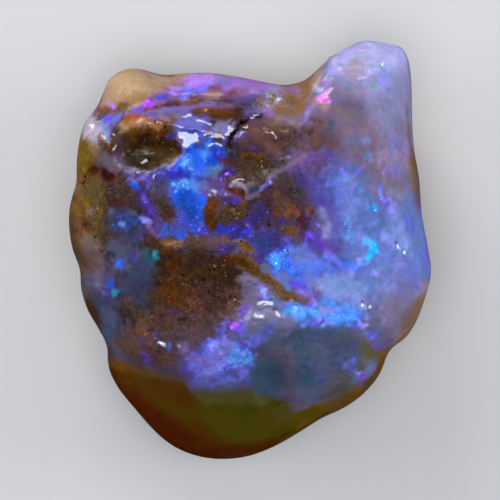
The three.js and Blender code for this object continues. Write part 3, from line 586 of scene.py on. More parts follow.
    ("fire", "deep_violet", 0.8, 5, 5, (126, 174), (150, 180), (172, 172)),
    # Softer ground of the middle.
    ("clay", "bark", 0.6, 12, 10, (262, 135), (290, 140)),
    ("clay", "smoke", 0.6, 12, 10, (285, 178), (300, 200)),
    ("milk", "heather", 0.5, 9, 8, (318, 168), (334, 168)),
    ("clay", "umber", 0.5, 24, 20, (175, 290), (205, 300)),
    ("clay", "smoke_brown", 0.8, 16, 12, (195, 325), (175, 345), (205, 335)),
    ("milk", "umber_mauve", 0.7, 9, 8, (140, 362), (165, 372), (184, 378)),
    ("amber", "amber", 0.8, 8, 8, (162, 386), (183, 392), (195, 402)),
    # Softer ground of the right side.
    ("milk", "lit_blue", 0.55, 26, 22, (352, 215), (372, 250), (395, 262)),
    ("milk", "blue_violet", 0.55, 18, 16, (322, 180), (334, 225), (325, 255)),
    ("milk", "lit_blue", 0.5, 14, 12, (395, 228), (402, 262)),
    ("milk", "powder_blue", 0.5, 14, 12, (335, 286), (360, 295)),
    ("milk", "heather_grey", 0.5, 12, 10, (402, 300), (398, 322)),
    # Softer ground of the grey side.
    ("milk", "steel_blue", 0.6, 12, 10, (308, 350), (312, 385)),
    ("milk", "dim_teal", 0.5, 6, 6, (303, 348), (302, 370)),
    ("milk", "slate_milk", 0.7, 12, 12, (332, 340), (345, 352)),
    ("milk", "grey_mauve", 0.7, 8, 8, (288, 350), (290, 392)),
    ("milk", "slate", 0.6, 9, 9, (330, 362), (340, 372)),
    ("milk", "grey_olive", 0.7, 9, 9, (328, 392), (345, 384)),
    ("clay", "moss", 0.5, 6, 6, (370, 350), (376, 362)),
    # Last ground of the left side.
    ("clay", "olive_gold", 0.8, 5, 4, (82, 150), (91, 158)),
    ("clay", "tan_shade", 0.7, 6, 5, (80, 166), (88, 164)),
    ("clay", "olive_gold", 0.8, 2.2, 2, (88, 205)),
    ("clay", "smoke_olive", 0.7, 5, 5, (92, 245), (96, 252)),
    ("milk", "dusk_slate", 0.6, 11, 9, (122, 216), (132, 226)),
    ("fire", "dim_violet", 0.6, 8, 6, (144, 196), (150, 212), (154, 226)),
    ("clay", "umber_mauve", 0.6, 7, 6, (168, 205), (172, 214)),
    ("clay", "umber_mauve", 0.6, 10, 9, (192, 250), (204, 258)),
    ("clay", "pit_brown", 0.9, 5, 3, (140, 164), (152, 167), (164, 164), (174, 158), (179, 152)),
    ("clay", "smoke_brown", 0.6, 9, 8, (118, 184), (128, 196)),
    # Details of the brown flank.
    ("potch", "clay_tan", 0.8, 5, 4, (76, 190), (74, 212), (76, 236)),
    ("clay", "dark_brown", 0.8, 3, 3, (103, 206), (104, 215)),
    ("milk", "warm_grey", 0.8, 4, 3, (90.5, 212)),
    ("clay", "orange_brown", 1, 5.5, 3, (87, 227), (94, 228)),
    ("milk", "warm_grey", 0.8, 6, 5, (88, 241), (98, 245)),
    ("milk", "heather_grey", 0.8, 6, 6, (92, 276), (98, 287)),
    ("milk", "rib_white", 0.9, 1.9, 1.6, (90, 283), (99, 283)),
    ("clay", "brown", 0.9, 4, 3.5, (90, 300), (98, 318), (103, 330)),
    ("milk", "warm_grey", 0.8, 5, 5, (84, 262), (80, 280), (84, 292)),
    # Details of the upper blue field.
    ("fire", "lavender_fire", 0.8, 3, 3, (131, 180), (139, 184)),
    ("fire", "mauve_fire", 0.8, 3, 2.5, (147, 200)),
    ("fire", "lilac_blue", 0.7, 1.8, 1.6, (150, 188), (156, 180)),
    ("clay", "umber_mauve", 0.8, 5, 4, (112, 190), (127, 192)),
    ("clay", "red_brown", 0.8, 4, 4, (114, 203), (122, 204)),
    ("fire", "dim_blue", 0.9, 5, 5, (121, 223), (136, 222)),
    ("fire", "milk_sky", 0.9, 2.6, 2.4, (123.7, 223)),
    ("fire", "lavender_fire", 0.8, 2, 2, (142, 220), (150, 223)),
    ("fire", "mauve_fire", 0.8, 4, 3.5, (155.5, 228)),
    ("clay", "umber", 0.8, 5.5, 5, (163, 204), (172, 211)),
    ("fire", "true_blue", 0.9, 5, 5, (166, 230), (181, 233)),
    ("fire", "azure", 0.9, 2.6, 2.6, (172.7, 232)),
    ("fire", "lilac_blue", 0.8, 1.6, 1.6, (141, 237.5)),
    ("clay", "peach_clay", 0.8, 3, 3, (165, 243), (181, 245)),
    ("clay", "brown", 0.8, 3, 3, (166, 250), (176, 250)),
    ("milk", "slate", 0.9, 8, 8, (119, 248), (126, 262)),
    ("milk", "dim_teal", 0.9, 8, 8, (138, 270), (148, 258)),
    ("clay", "brown", 0.8, 6, 5, (174, 265)),
    # Details of the sky blue field.
    ("fire", "sky_fire", 0.8, 6, 5, (190, 165), (200, 162)),
    ("fire", "sky_grey", 0.8, 6, 6, (205, 170), (216, 172)),
    ("fire", "sky_fire", 0.8, 5, 5, (184, 187), (200, 190)),
    ("fire", "azure", 0.9, 5, 4.5, (186, 203), (190, 198), (198, 202)),
    ("fire", "lilac_blue", 0.8, 2.4, 2.4, (201, 225.6)),
    ("milk", "soft_violet", 0.8, 2.5, 2.5, (203, 192), (210, 197)),
    ("milk", "warm_grey", 0.9, 2.4, 2, (212, 180), (218, 174)),
    # Details of the knob, the curl and the block.
    ("fire", "dim_violet", 0.8, 3.4, 2, (222, 177), (226, 172), (232, 172)),
    ("clay", "earth", 1, 8, 3, (250, 168), (262, 168)),
    ("clay", "ochre_brown", 0.6, 1.8, 1.6, (242, 160), (247, 155.5), (254, 154), (261, 156), (266, 161)),
    ("clay", "umber_mauve", 0.9, 3.4, 2.5, (238, 178), (250, 181), (264, 180)),
    # Painted highlight: the thin glint on the curl.
    ("milk", "rib_white", 0.9, 1.8, 1.4, (229, 187), (234, 184), (240, 185)),
    ("milk", "rib_white", 0.9, 2, 1.6, (240, 185), (246, 190), (245, 196.5)),
    ("clay", "red_brown", 0.9, 1.8, 1.5, (239.7, 192.4), (243, 197.7)),
    ("fire", "dim_violet", 0.9, 2.4, 2, (226, 202), (236, 201)),
    ("clay", "crack", 0.9, 2, 1.6, (230, 206), (236, 206)),
    ("milk", "milk_white", 0.8, 0.9, 0.9, (225.8, 195.8)),
    ("milk", "heather_grey", 0.8, 1.6, 1.4, (246, 199)),
    ("milk", "pale_olive", 0.8, 2.6, 2.2, (250, 184.5)),
    ("milk", "slate_plum", 0.8, 4.5, 4, (252, 190.5)),
    ("fire", "lavender_fire", 0.9, 2.2, 2, (261, 191), (267.5, 183)),
    ("milk", "mauve_grey", 0.5, 2, 2, (267.5, 181), (275, 175), (283, 170), (295, 162), (304, 159)),
    ("fire", "lavender_fire", 0.8, 1.6, 1.4, (299.4, 173)),
    ("fire", "dim_violet", 0.5, 6, 6, (298, 168), (300, 186)),
    ("clay", "earth", 1, 5, 3, (213, 200), (212, 214), (213, 228)),
    ("clay", "umber_mauve", 0.8, 6, 3.5, (225, 213), (245, 213)),
    ("clay", "smoke_brown", 0.8, 3, 2.5, (222, 221), (228, 220)),
    # Details of the violet valley.
    ("fire", "dim_violet", 0.9, 5, 4.5, (255, 213), (258, 222)),
    ("fire", "deep_blue", 0.8, 1.8, 1.8, (247, 230), (254, 234)),
    ("fire", "mauve_fire", 0.8, 1.8, 1.8, (262, 227), (266, 231)),
    ("clay", "rose_brown", 0.9, 4.5, 3.5, (287, 212), (293, 213)),
    ("clay", "rose_brown", 0.8, 3, 2.6, (274, 215)),
    ("clay", "pink_brown", 0.8, 2.4, 2.2, (279.5, 199)),
    ("clay", "strip_brown", 0.8, 4.5, 4, (289, 231)),
    ("fire", "mauve_fire", 0.8, 3, 3, (282, 240)),
    ("fire", "ultramarine", 0.9, 2, 1.8, (282, 247.5)),
    ("fire", "violet_blue", 0.9, 2, 1.8, (289, 249.5)),
    ("fire", "dim_blue", 0.9, 5, 5, (257, 239), (265, 248)),
    ("fire", "azure", 0.9, 4.5, 4, (288, 264), (304, 266)),
    ("milk", "heather_grey", 0.8, 3, 3, (296, 253)),
    # Details of the brown field's arch.
    ("fire", "dim_violet", 0.8, 5, 4.5, (226, 248), (233, 248)),
    ("clay", "strip_brown", 0.9, 4, 3.5, (249, 245.5)),
    ("clay", "strip_brown", 0.9, 4, 3.5, (236, 256), (246, 262), (254, 268)),
    ("clay", "olive_brown", 0.8, 5, 5, (213, 265)),
    ("clay", "umber", 0.8, 6, 6, (200, 258), (190, 268)),
    ("clay", "umber", 0.9, 8, 8, (205, 285), (230, 282)),
    ("clay", "brown", 0.9, 8, 8, (170, 290), (195, 300)),
    ("clay", "smoke_brown", 0.8, 9, 7, (200, 325), (212, 335)),
    # Details of the horn's foot.
    ("fire", "sky_grey", 0.3, 3, 3, (363, 143)),
    ("fire", "sky_grey", 0.3, 3, 3, (366, 158)),
    ("fire", "soft_blue", 0.6, 3, 3, (359, 172), (351, 170)),
    ("fire", "soft_blue", 0.7, 3.5, 3, (394, 144)),
    ("fire", "lavender_fire", 0.4, 2.4, 2.4, (402, 145), (403, 153)),
    ("fire", "heather_pink", 0.4, 2.4, 2, (407, 132), (405, 165)),
    ("fire", "lavender_fire", 0.5, 1.6, 2, (389.5, 131), (390, 136)),
    ("milk", "clay_tan", 0.8, 3, 4, (410, 132), (413, 165), (417, 190)),
    ("fire", "lilac_blue", 0.7, 3, 3, (384, 170), (397, 175)),
    ("milk", "ash_mauve", 0.7, 4, 4, (387, 181), (398, 186)),
    ("milk", "milk_grey", 0.7, 3, 3, (397, 197)),
    ("clay", "umber_mauve", 0.7, 6, 6, (315, 148)),
    ("clay", "strip_brown", 0.6, 5, 5, (303, 150)),
    ("milk", "pink_brown", 0.7, 7, 7, (310, 138), (335, 145)),
    ("fire", "mauve_fire", 0.8, 3, 3, (328, 157)),
    ("fire", "mauve_fire", 0.5, 4, 4, (326, 170)),
    ("fire", "soft_violet", 0.5, 3, 3, (303, 163), (311, 172)),
    ("fire", "soft_blue", 0.8, 3, 3, (332, 181)),
    ("fire", "violet_blue", 0.8, 3, 2.6, (342, 174)),
    ("fire", "lilac_blue", 0.8, 3, 3, (337, 186)),
    ("milk", "powder_blue", 0.8, 4.5, 4, (344, 180), (353, 184)),
    ("fire", "lavender_fire", 0.8, 2, 1.8, (351, 188)),
    ("fire", "sky_grey", 0.8, 2.6, 2.4, (360, 185), (358, 192), (364, 199)),
    ("fire", "sky_grey", 0.8, 5, 4, (370, 207)),
    ("fire", "cyan", 1, 2.8, 2, (370, 207)),
    ("fire", "lilac_blue", 0.7, 5, 5, (381, 200), (389, 208)),
    ("fire", "violet_blue", 0.7, 2.6, 2.6, (378, 185), (380, 200)),
    # Details of the violet valley's right side.
    ("fire", "mauve_fire", 0.8, 4, 4, (322, 202)),
    ("milk", "grey_mauve", 0.8, 5, 5, (310, 205)),
    ("clay", "rose_brown", 0.8, 4, 4, (306, 207), (312, 214)),
    ("milk", "heather_grey", 0.9, 2.6, 2.4, (316, 212), (320, 218), (323, 228), (325, 235), (328, 244)),
    ("fire", "orchid", 0.8, 1.8, 1.8, (317, 226)),
    ("fire", "violet_fire", 0.8, 3, 3, (308, 234), (313, 236)),
    ("fire", "violet_fire", 0.8, 2.4, 2.4, (316, 245), (320, 248)),
    ("fire", "mauve_fire", 0.8, 2.4, 2.4, (336, 248)),
    ("fire", "violet_fire", 0.8, 1.8, 1.8, (332, 244)),
    ("fire", "soft_blue", 0.8, 4.5, 4.5, (347, 225)),
    ("fire", "sky_grey", 0.8, 5, 5, (350, 235)),
    ("fire", "soft_blue", 0.8, 3, 3, (357, 223)),
    ("fire", "cyan", 1, 3.6, 2.6, (366, 241)),
    ("fire", "cyan", 1, 4.4, 2.8, (372, 246), (371, 251)),
    ("fire", "cyan", 1, 3.2, 2.4, (367, 256)),
    ("fire", "sky_fire", 0.9, 4, 4, (363, 264)),
    ("fire", "sky_grey", 0.7, 4, 4, (381, 226)),
    ("milk", "powder_blue", 0.9, 8, 8, (388, 236), (400, 244)),
    ("fire", "powder_blue", 0.8, 3, 3, (402, 244)),
    ("fire", "lilac_blue", 0.6, 3.4, 3.4, (412, 222), (412, 232)),
    ("milk", "pink_brown", 0.8, 3.4, 5, (416, 182), (418, 200), (420, 215)),
    ("milk", "heather", 0.7, 3, 3, (339, 240)),
    # Details of the cyan shelf.
    ("fire", "pale_lilac", 0.9, 2.2, 2, (354, 259), (357, 265)),
    ("fire", "pale_lilac", 0.9, 1.8, 1.8, (360, 255)),
    ("fire", "lavender_fire", 0.4, 2.4, 2.4, (398, 264)),
    ("fire", "lilac_blue", 0.7, 2.4, 2.4, (424, 250), (426, 260), (423, 268)),
    ("fire", "soft_violet", 0.7, 6, 6, (320, 240), (335, 252)),
    ("fire", "azure", 0.9, 5, 4, (293, 268), (300, 270)),
    ("fire", "azure", 0.8, 5, 5, (320, 264), (330, 268)),
    ("fire", "azure", 0.8, 4, 4, (319, 270)),
    ("fire", "soft_blue", 0.7, 5, 5, (345, 262)),
    ("fire", "lavender_fire", 0.7, 1.6, 1.6, (347, 270), (352, 278)),
    ("fire", "lavender_fire", 0.7, 1.6, 1.6, (372, 270), (375, 276)),
    ("milk", "powder_blue", 0.8, 6, 6, (330, 284), (345, 284)),
    ("fire", "violet_fire", 0.9, 3, 2.4, (290, 282), (297, 284)),
    ("fire", "violet_fire", 0.9, 3, 2.4, (303, 285)),
    ("fire", "mauve_fire", 0.8, 4, 4, (308, 291), (317, 297)),
    ("clay", "pink_brown", 0.9, 5, 4, (292, 292), (303, 300)),
    ("clay", "clay_tan", 0.9, 2.4, 2, (294, 299)),
    ("fire", "violet_fire", 0.9, 1.7, 1.5, (291, 305), (303, 307), (308, 303)),
    ("fire", "sky_fire", 0.9, 3, 3, (300, 310)),
    ("milk", "milk_grey", 0.7, 4, 4, (320, 309), (330, 311)),
    ("fire", "sky", 0.9, 6, 5, (328, 319), (348, 317)),
    ("milk", "milk_grey", 0.8, 4, 3, (365, 302)),
    ("fire", "lavender_fire", 0.9, 1.8, 1.6, (316, 318)),
    ("fire", "violet_blue", 0.8, 3.4, 3, (310, 320)),
    ("fire", "lavender_fire", 0.9, 2, 1.8, (322, 321), (329, 322)),
    ("fire", "lavender_fire", 0.8, 1.8, 1.8, (301, 323)),
    ("fire", "lavender_fire", 0.9, 2.6, 2.4, (361, 324)),
    ("fire", "violet_blue", 0.8, 3, 3, (354, 325)),
    ("fire", "lilac_blue", 0.8, 3, 3, (372, 330), (368, 335)),
    ("milk", "steel_blue", 0.8, 6, 6, (308, 334), (323, 338)),
    ("milk", "wet_grey", 0.8, 6, 6, (338, 337), (350, 335)),
    ("fire", "lilac_blue", 0.7, 3, 3, (367, 295)),
    ("fire", "lilac_blue", 0.7, 2.4, 2.4, (388, 283)),
    ("fire", "lilac_blue", 0.7, 3, 3, (398, 291)),
    ("fire", "lilac_blue", 0.7, 3, 3, (417, 287)),
    ("milk", "wet_grey", 0.4, 2, 2, (395, 285), (415, 287)),
    ("milk", "ash_mauve", 0.8, 8, 8, (395, 308), (405, 325)),
    ("milk", "clay_tan", 0.9, 4, 3, (421, 300), (415, 312), (408, 332), (400, 342)),
    ("fire", "mauve_fire", 0.7, 4, 4, (376, 344), (380, 348)),
    # Details of the left blue flank.
    ("milk", "dusk_slate", 0.8, 7, 7, (92, 280), (98, 295)),
    ("fire", "true_blue", 0.9, 3.6, 3, (112, 285)),
    ("fire", "mauve_fire", 0.9, 3, 3, (107, 291)),
    ("fire", "teal_fire", 0.9, 3, 2.6, (118, 293)),
    ("clay", "plum", 0.7, 2.6, 2.4, (120, 287)),
    ("milk", "dusk_slate", 0.8, 7, 7, (126, 280), (145, 290)),
    ("clay", "earth", 0.7, 4, 3.4, (91, 304), (98, 318), (103, 330)),
    ("fire", "steel_blue", 0.9, 4, 4, (112, 325)),
    ("fire", "steel_blue", 0.8, 3.4, 3.4, (110, 334)),
    ("milk", "slate", 0.9, 5, 5, (108, 310), (112, 345)),
    ("milk", "grey_mauve", 0.8, 5, 5, (122, 355)),
    ("clay", "smoke_brown", 0.9, 7, 7, (130, 305), (145, 320)),
    ("clay", "olive_brown", 0.8, 5, 5, (153, 295)),
    ("clay", "earth", 0.8, 4, 4, (165, 325)),
    ("clay", "brown", 0.8, 5, 5, (178, 300)),
    ("clay", "ochre_brown", 0.6, 2.2, 2.6, (134, 331), (146, 332)),
    ("clay", "pink_brown", 0.8, 4.4, 4, (152, 337)),
    ("fire", "dim_violet", 0.8, 2, 1.8, (158, 333)),
    # Painted highlight: the glint on the knob.
    ("milk", "milk_white", 0.9, 1.1, 1.1, (161, 340), (166, 342)),
    ("fire", "soft_blue", 0.9, 3, 2.4, (173, 344)),
    ("fire", "violet_fire", 0.8, 1.5, 1.4, (171, 347.5)),
    ("milk", "milk_lavender", 0.8, 2, 1.8, (182, 345)),
    ("fire", "violet_fire", 0.7, 1.4, 3, (143, 350)),
    ("fire", "violet_fire", 0.7, 1.3, 2.4, (148, 355), (147, 361)),
    ("clay", "pink_brown", 0.8, 5, 5, (168, 357), (174, 358)),
    ("fire", "grey_violet", 0.8, 5, 5, (188, 350), (196, 362)),
    ("milk", "smoke_brown", 0.7, 3, 3, (110, 345), (110, 358)),
    ("clay", "pink_brown", 0.9, 7, 7, (120, 342), (135, 345)),
    ("clay", "crack", 1, 1.3, 1, (182, 318), (188, 317)),
    ("clay", "smoke", 0.8, 2.4, 2.2, (132, 355)),
    ("fire", "dim_violet", 0.9, 1.5, 1.4, (197, 316)),
    # Details of the strip and the wet shelf.
    (
        "clay", "strip_brown", 1, 4.4, 3, (233, 257), (248, 262), (258, 272), (268, 280), (280, 289),
        (290, 297),
    ),
    ("clay", "earth", 0.9, 3.4, 3, (245, 262)),
    ("clay", "ochre_brown", 0.9, 3, 3, (283, 291)),
    ("clay", "crack", 0.9, 1.2, 1, (266, 280)),
    ("clay", "crack", 0.8, 1.2, 1, (288, 297)),
    ("clay", "crack", 0.8, 1.2, 1, (295, 304)),
    ("milk", "milk_grey", 0.9, 4, 4, (245, 278), (255, 281)),
    ("fire", "lavender_fire", 0.8, 4, 4, (259, 286), (265, 294)),
    ("milk", "heather_grey", 0.9, 4.4, 4, (247, 298), (260, 306)),
    ("milk", "milk_grey", 0.8, 4, 4, (250, 310), (262, 313)),
    # Painted highlight: a short glint on the wet shelf.
    ("milk", "milk_white", 0.8, 1.5, 1.4, (255, 312), (263, 317)),
    ("fire", "sky_fire", 0.8, 5, 4.4, (288, 308), (306, 313)),
    ("clay", "slate_plum", 0.8, 1.6, 1.4, (252, 319), (256, 320)),
    ("milk", "grey_mauve", 0.8, 3.4, 3, (250, 327)),
    ("milk", "milk_grey", 0.9, 6, 6, (270, 316), (286, 322)),
    ("fire", "violet_blue", 0.8, 3, 3, (271, 325)),
    ("fire", "violet_blue", 0.8, 4.4, 4, (256, 337), (266, 330)),
    ("fire", "pink_fire", 1, 2.2, 1.8, (233, 326), (237, 322)),
    ("fire", "orchid", 0.9, 2, 1.8, (241, 320)),
    ("fire", "violet_fire", 0.8, 4, 4, (230, 321), (244, 328)),
    ("fire", "mauve_fire", 0.8, 2, 2, (232, 331), (239, 331)),
    # Details of the violet fire patch.
    ("fire", "violet_blue", 0.9, 3, 3, (220, 335), (222, 342)),
    ("fire", "lavender_fire", 0.9, 5, 4.4, (212, 346), (227, 346)),
    ("fire", "violet_blue", 0.9, 4.4, 4, (201, 350), (211, 350)),
    ("fire", "violet_blue", 0.9, 4.4, 4, (191, 363), (199, 366)),
    ("fire", "lavender_fire", 0.9, 7, 5, (212, 363), (216, 367)),
    ("fire", "lavender_fire", 0.9, 1.6, 1.5, (206, 369.5), (202, 370.5)),
    ("fire", "violet_blue", 0.9, 4.4, 4, (219, 375)),
    ("fire", "sky_fire", 0.9, 3, 3, (236, 350)),
    ("fire", "lavender_fire", 0.9, 2.6, 2.4, (243, 352)),
    ("fire", "sky_fire", 0.9, 5, 4, (235, 360), (246, 360)),
    ("fire", "lavender_fire", 0.9, 1.7, 1.5, (235.5, 363)),
    ("fire", "lavender_fire", 0.9, 1.7, 1.5, (241, 365)),
    ("fire", "soft_blue", 0.9, 1.7, 1.5, (243, 346)),
    ("milk", "dusk_violet", 0.8, 3, 3, (231, 370), (236, 371)),
    ("fire", "lilac_blue", 0.8, 4, 4, (244, 372)),
    ("milk", "grey_olive", 0.8, 5, 6, (222, 388), (248, 390)),
    ("fire", "milk_lavender", 0.9, 1.6, 1.5, (256, 353)),
    # Details of the grey side.
    ("milk", "grey_mauve", 0.9, 7, 7, (264, 350), (282, 350)),
    ("milk", "slate", 0.6, 7, 7, (264, 380), (282, 385)),
    ("milk", "slate_dark", 0.4, 6, 6, (274, 370), (278, 378)),
    ("milk", "steel_blue", 0.6, 7, 7, (310, 350), (314, 372)),
    ("fire", "slate_blue", 0.8, 2, 2, (308, 361)),
    ("fire", "slate_blue", 0.8, 2, 2, (318, 365)),
    ("fire", "slate_blue", 0.8, 2, 2, (320, 380)),
    ("fire", "slate_blue", 0.9, 2, 1.8, (307, 361)),
    ("milk", "teal_deep", 0.5, 5, 5, (306, 345)),
    ("milk", "steel_blue", 0.8, 5, 5, (323, 335), (330, 330)),
    ("fire", "slate_blue", 0.8, 2.4, 2.4, (313, 334)),
    ("milk", "slate", 0.9, 6, 6, (330, 345), (345, 345)),
    ("milk", "slate", 0.9, 5, 5, (352, 343), (356, 348)),
    ("milk", "grey_olive", 0.9, 5, 5, (362, 344), (368, 352)),
    ("milk", "grey_olive", 0.8, 5, 5, (373, 352), (378, 356)),
    ("fire", "steel_blue", 0.9, 3, 2.6, (342, 358)),
    ("fire", "slate_blue", 0.9, 2.4, 2, (338, 363)),
    ("fire", "lilac_blue", 0.9, 2, 1.8, (342, 365)),
    ("fire", "violet_blue", 0.9, 3, 2.6, (351, 358)),
    ("fire", "mauve_fire", 0.9, 2, 1.8, (352, 367)),
    ("milk", "heather", 0.5, 3, 3.4, (360, 365)),
    ("fire", "lavender_fire", 0.9, 2, 1.8, (355, 371), (358, 372)),
    ("fire", "violet_fire", 1, 2.4, 1.8, (361, 377)),
    ("milk", "maroon", 0.5, 4, 4, (368, 383)),
    ("milk", "rose_brown", 0.6, 5, 5, (355, 388), (360, 392)),
    ("milk", "grey_olive", 0.8, 6, 6, (335, 374), (345, 380)),
    ("milk", "smoke_olive", 0.7, 6, 6, (330, 395), (340, 390)),
    ("milk", "slate_milk", 0.7, 6, 6, (303, 392), (312, 394)),
    ("amber", "amber_tan", 0.9, 5, 4, (380, 352), (384, 362), (380, 370)),
    ("amber", "amber_tan", 0.9, 5, 4, (350, 398), (358, 392)),
    # Details of the horn.
    ("milk", "milk_lavender", 0.8, 7, 7, (380, 46), (388, 55)),
    ("milk", "milk_lavender", 0.8, 6, 6, (398, 52), (403, 62)),
    ("fire", "lavender_fire", 0.7, 6, 6, (391, 66), (396, 72)),
    ("fire", "powder_blue", 0.7, 4, 4, (386, 76)),
    ("fire", "lavender_fire", 0.9, 2.6, 2.4, (383, 84)),
    ("fire", "sky_grey", 0.9, 2.6, 2.2, (389, 92)),
    ("fire", "green_fire", 0.9, 1.6, 1.6, (370, 87.5), (373, 87.5)),
    ("fire", "sky_grey", 0.8, 2, 1.8, (392.5, 106)),
    ("milk", "heather_pink", 0.8, 2, 1.8, (387, 104), (389, 110)),
    ("milk", "shoulder_white", 0.7, 2, 1.8, (374, 105)),
    ("milk", "pale_olive", 0.8, 2.4, 2, (374, 111)),
    ("milk", "sky_grey", 0.8, 3, 3, (392, 125)),
    ("fire", "pale_lilac", 0.7, 2.4, 2.4, (404, 98)),
    ("fire", "powder_blue", 0.8, 3, 3, (386, 123)),
    ("milk", "pale_grey_tan", 0.8, 5, 5, (357, 58), (352, 70)),
    ("milk", "pale_grey_tan", 0.8, 4, 4, (357, 67)),
    ("milk", "warm_grey", 0.8, 3, 3, (347, 92)),
    ("milk", "mauve_tan", 0.4, 5, 5, (356, 90), (358, 96)),
    ("milk", "grey_mauve", 0.5, 5, 5, (345, 105), (356, 106)),
    ("milk", "milk_grey", 0.7, 4, 4, (366, 110), (369, 116)),
    ("milk", "mauve_tan", 0.7, 5, 5, (341, 118), (350, 118)),
    ("milk", "tan_brown", 0.6, 1.6, 2, (322, 67), (317, 74), (313, 82)),
    ("fire", "lavender_fire", 0.9, 2.4, 2, (333, 72), (332, 77)),
    ("fire", "orchid", 0.4, 2, 3, (325, 83), (327, 88)),
    ("fire", "lavender_fire", 0.7, 3, 3, (345, 56), (347, 52)),
    ("fire", "pale_lilac", 0.7, 3, 3, (343, 61)),
    ("milk", "mauve_tan", 0.8, 2.6, 2.4, (311, 93), (306, 103)),
    ("clay", "clay_tan", 0.9, 3.4, 3, (307, 88), (301, 103)),
    ("milk", "pale_olive", 0.5, 2, 2.4, (315, 105), (320, 109)),
    ("milk", "violet_milk", 0.8, 4, 4, (309, 116), (306, 122)),
    ("fire", "lilac_blue", 0.7, 3, 3, (311, 114)),
    ("fire", "steel_blue", 0.8, 3, 2.6, (328, 127)),
    ("milk", "wet_grey", 0.8, 3, 3, (327, 122), (330, 131)),
    ("clay", "tan_brown", 0.8, 4, 4, (310, 122), (320, 125)),
    ("milk", "mauve_tan", 0.8, 4, 4, (338, 112), (345, 118)),
    ("milk", "ash_mauve", 0.8, 4, 4, (355, 122), (370, 125)),
    ("milk", "milk_grey", 0.5, 3, 2.4, (407, 62), (409, 90), (411, 120)),
    ("milk", "milk_grey", 0.5, 4, 4, (408, 108), (410, 114)),
    ("fire", "lavender_fire", 0.4, 3, 2.4, (406, 142), (404, 150)),
    # Details of the pit and shoulder.
    ("potch", "shoulder_white", 0.9, 7, 5, (90, 131), (98, 135)),
    ("milk", "powder_blue", 0.6, 4, 3.5, (104, 128), (107, 137)),
    ("clay", "olive_gold", 1, 5, 3.5, (84, 147), (87, 157)),
    ("milk", "clay_tan", 0.6, 4, 4, (96, 150), (99, 157)),
    ("clay", "ochre_brown", 0.9, 2.6, 2.2, (103, 138), (103, 146)),
    ("clay", "bright_rust", 1, 2.6, 2, (126, 121), (134, 118.5), (146, 120.5)),
    ("potch", "peach_clay", 0.9, 4, 3, (130, 126), (138, 127)),
    ("clay", "peach_clay", 0.9, 3, 2.5, (148, 127), (160, 128)),
    ("milk", "umber_mauve", 0.9, 3.4, 3, (121, 138), (121, 150)),
    ("clay", "pit_brown", 1, 8, 5, (138, 154), (148, 160)),
    ("clay", "pit_brown", 0.8, 4.5, 3.5, (142, 140), (152, 145)),
    ("clay", "pit_brown", 0.8, 6, 3.5, (163, 147), (174, 150)),
    ("clay", "ochre_brown", 0.9, 4, 3.5, (132, 134), (140, 134)),
    # Painted highlight: a thin light line along the pit's lower rim.
    (
        "milk", "mauve_tan", 0.7, 1.1, 1.2, (135, 172), (146, 171.5), (158, 169), (172, 163), (184, 156),
        (186, 149), (180, 141),
    ),
    ("milk", "dusk_smoke", 0.9, 5, 3.5, (104, 157), (112, 164), (122, 168)),
    ("fire", "violet_milk", 0.9, 3.5, 3, (133, 180), (146, 180)),
    ("fire", "azure", 1, 1.9, 1.5, (134, 184), (138.5, 187)),
    ("fire", "sky_fire", 0.9, 3.6, 3, (181, 186), (192, 184), (202, 186)),
    ("fire", "azure", 1, 4.6, 3, (184, 195), (196, 198)),
    ("fire", "deep_blue", 0.9, 5, 4, (165, 175), (180, 175)),
    ("fire", "azure", 0.9, 4.6, 4, (197, 158), (201, 166)),
    ("fire", "ultramarine", 0.8, 2.4, 2, (188, 170)),
    ("clay", "deep_rust", 1, 4, 2.4, (91, 171), (97, 170)),
    ("clay", "deep_rust", 1, 4.6, 2.4, (106, 174), (112, 178)),
    ("clay", "deep_rust", 0.9, 1.8, 1.6, (84, 182)),
    ("clay", "smoke_olive", 0.8, 6, 5, (91, 192), (98, 200)),
    ("clay", "olive_gold", 0.9, 2.2, 1.8, (87, 203)),
    ("clay", "olive_gold", 0.9, 2.2, 1.8, (100, 212)),
    ("clay", "earth", 1, 4.6, 2.2, (86, 226), (94, 227)),
    ("potch", "edge_brown", 0.9, 7, 6, (73, 200), (71, 225)),
    ("milk", "warm_grey", 0.8, 2, 1.8, (148, 226.6)),
    ("clay", "clay_tan", 0.9, 2.4, 2.2, (166, 244), (182, 245)),
    ("fire", "azure", 1, 2.4, 2, (122, 263.6)),
    ("fire", "true_blue", 1, 2.4, 2, (135, 255.5)),
    ("fire", "teal_fire", 1, 1.8, 1.5, (157, 254)),
    # Details of the middle.
    ("clay", "crack", 0.8, 1.1, 1, (240, 115), (231, 126), (228.5, 139), (230, 151)),
    ("milk", "mauve_tan", 0.9, 2.4, 2, (276, 120), (285, 121), (294, 124)),
    ("clay", "clay_tan", 0.9, 4, 3.5, (278, 113), (294, 114)),
    ("milk", "pink_brown", 0.9, 8, 7, (255, 132), (272, 148)),
    ("milk", "mauve_brown", 0.9, 6, 5, (244, 146), (256, 146)),
    ("clay", "smoke_brown", 0.9, 3.6, 3, (310, 136)),
    ("milk", "red_brown", 0.7, 2.8, 2.6, (224, 163), (232, 164)),
    ("milk", "warm_grey", 0.5, 1.2, 1.4, (213, 186), (212, 178), (220, 173)),
    ("milk", "slate_dark", 0.9, 2.6, 2.2, (256, 188.5)),
    ("fire", "violet_fire", 1, 1.5, 1.3, (266.5, 183), (265, 190)),
    ("milk", "grey_violet", 0.6, 1.6, 1.8, (240, 197), (253, 194), (263, 189.6)),
    ("milk", "grey_violet", 0.4, 1.2, 1.8, (270.7, 181), (282, 172.6), (294, 164), (304, 159.5)),
    ("clay", "brown", 0.9, 3, 2.4, (213, 199), (214, 208)),
    ("clay", "brown", 0.9, 2.2, 2, (240.5, 190), (243, 198)),
    ("clay", "strip_brown", 0.9, 4.4, 3, (226, 211), (240, 213)),
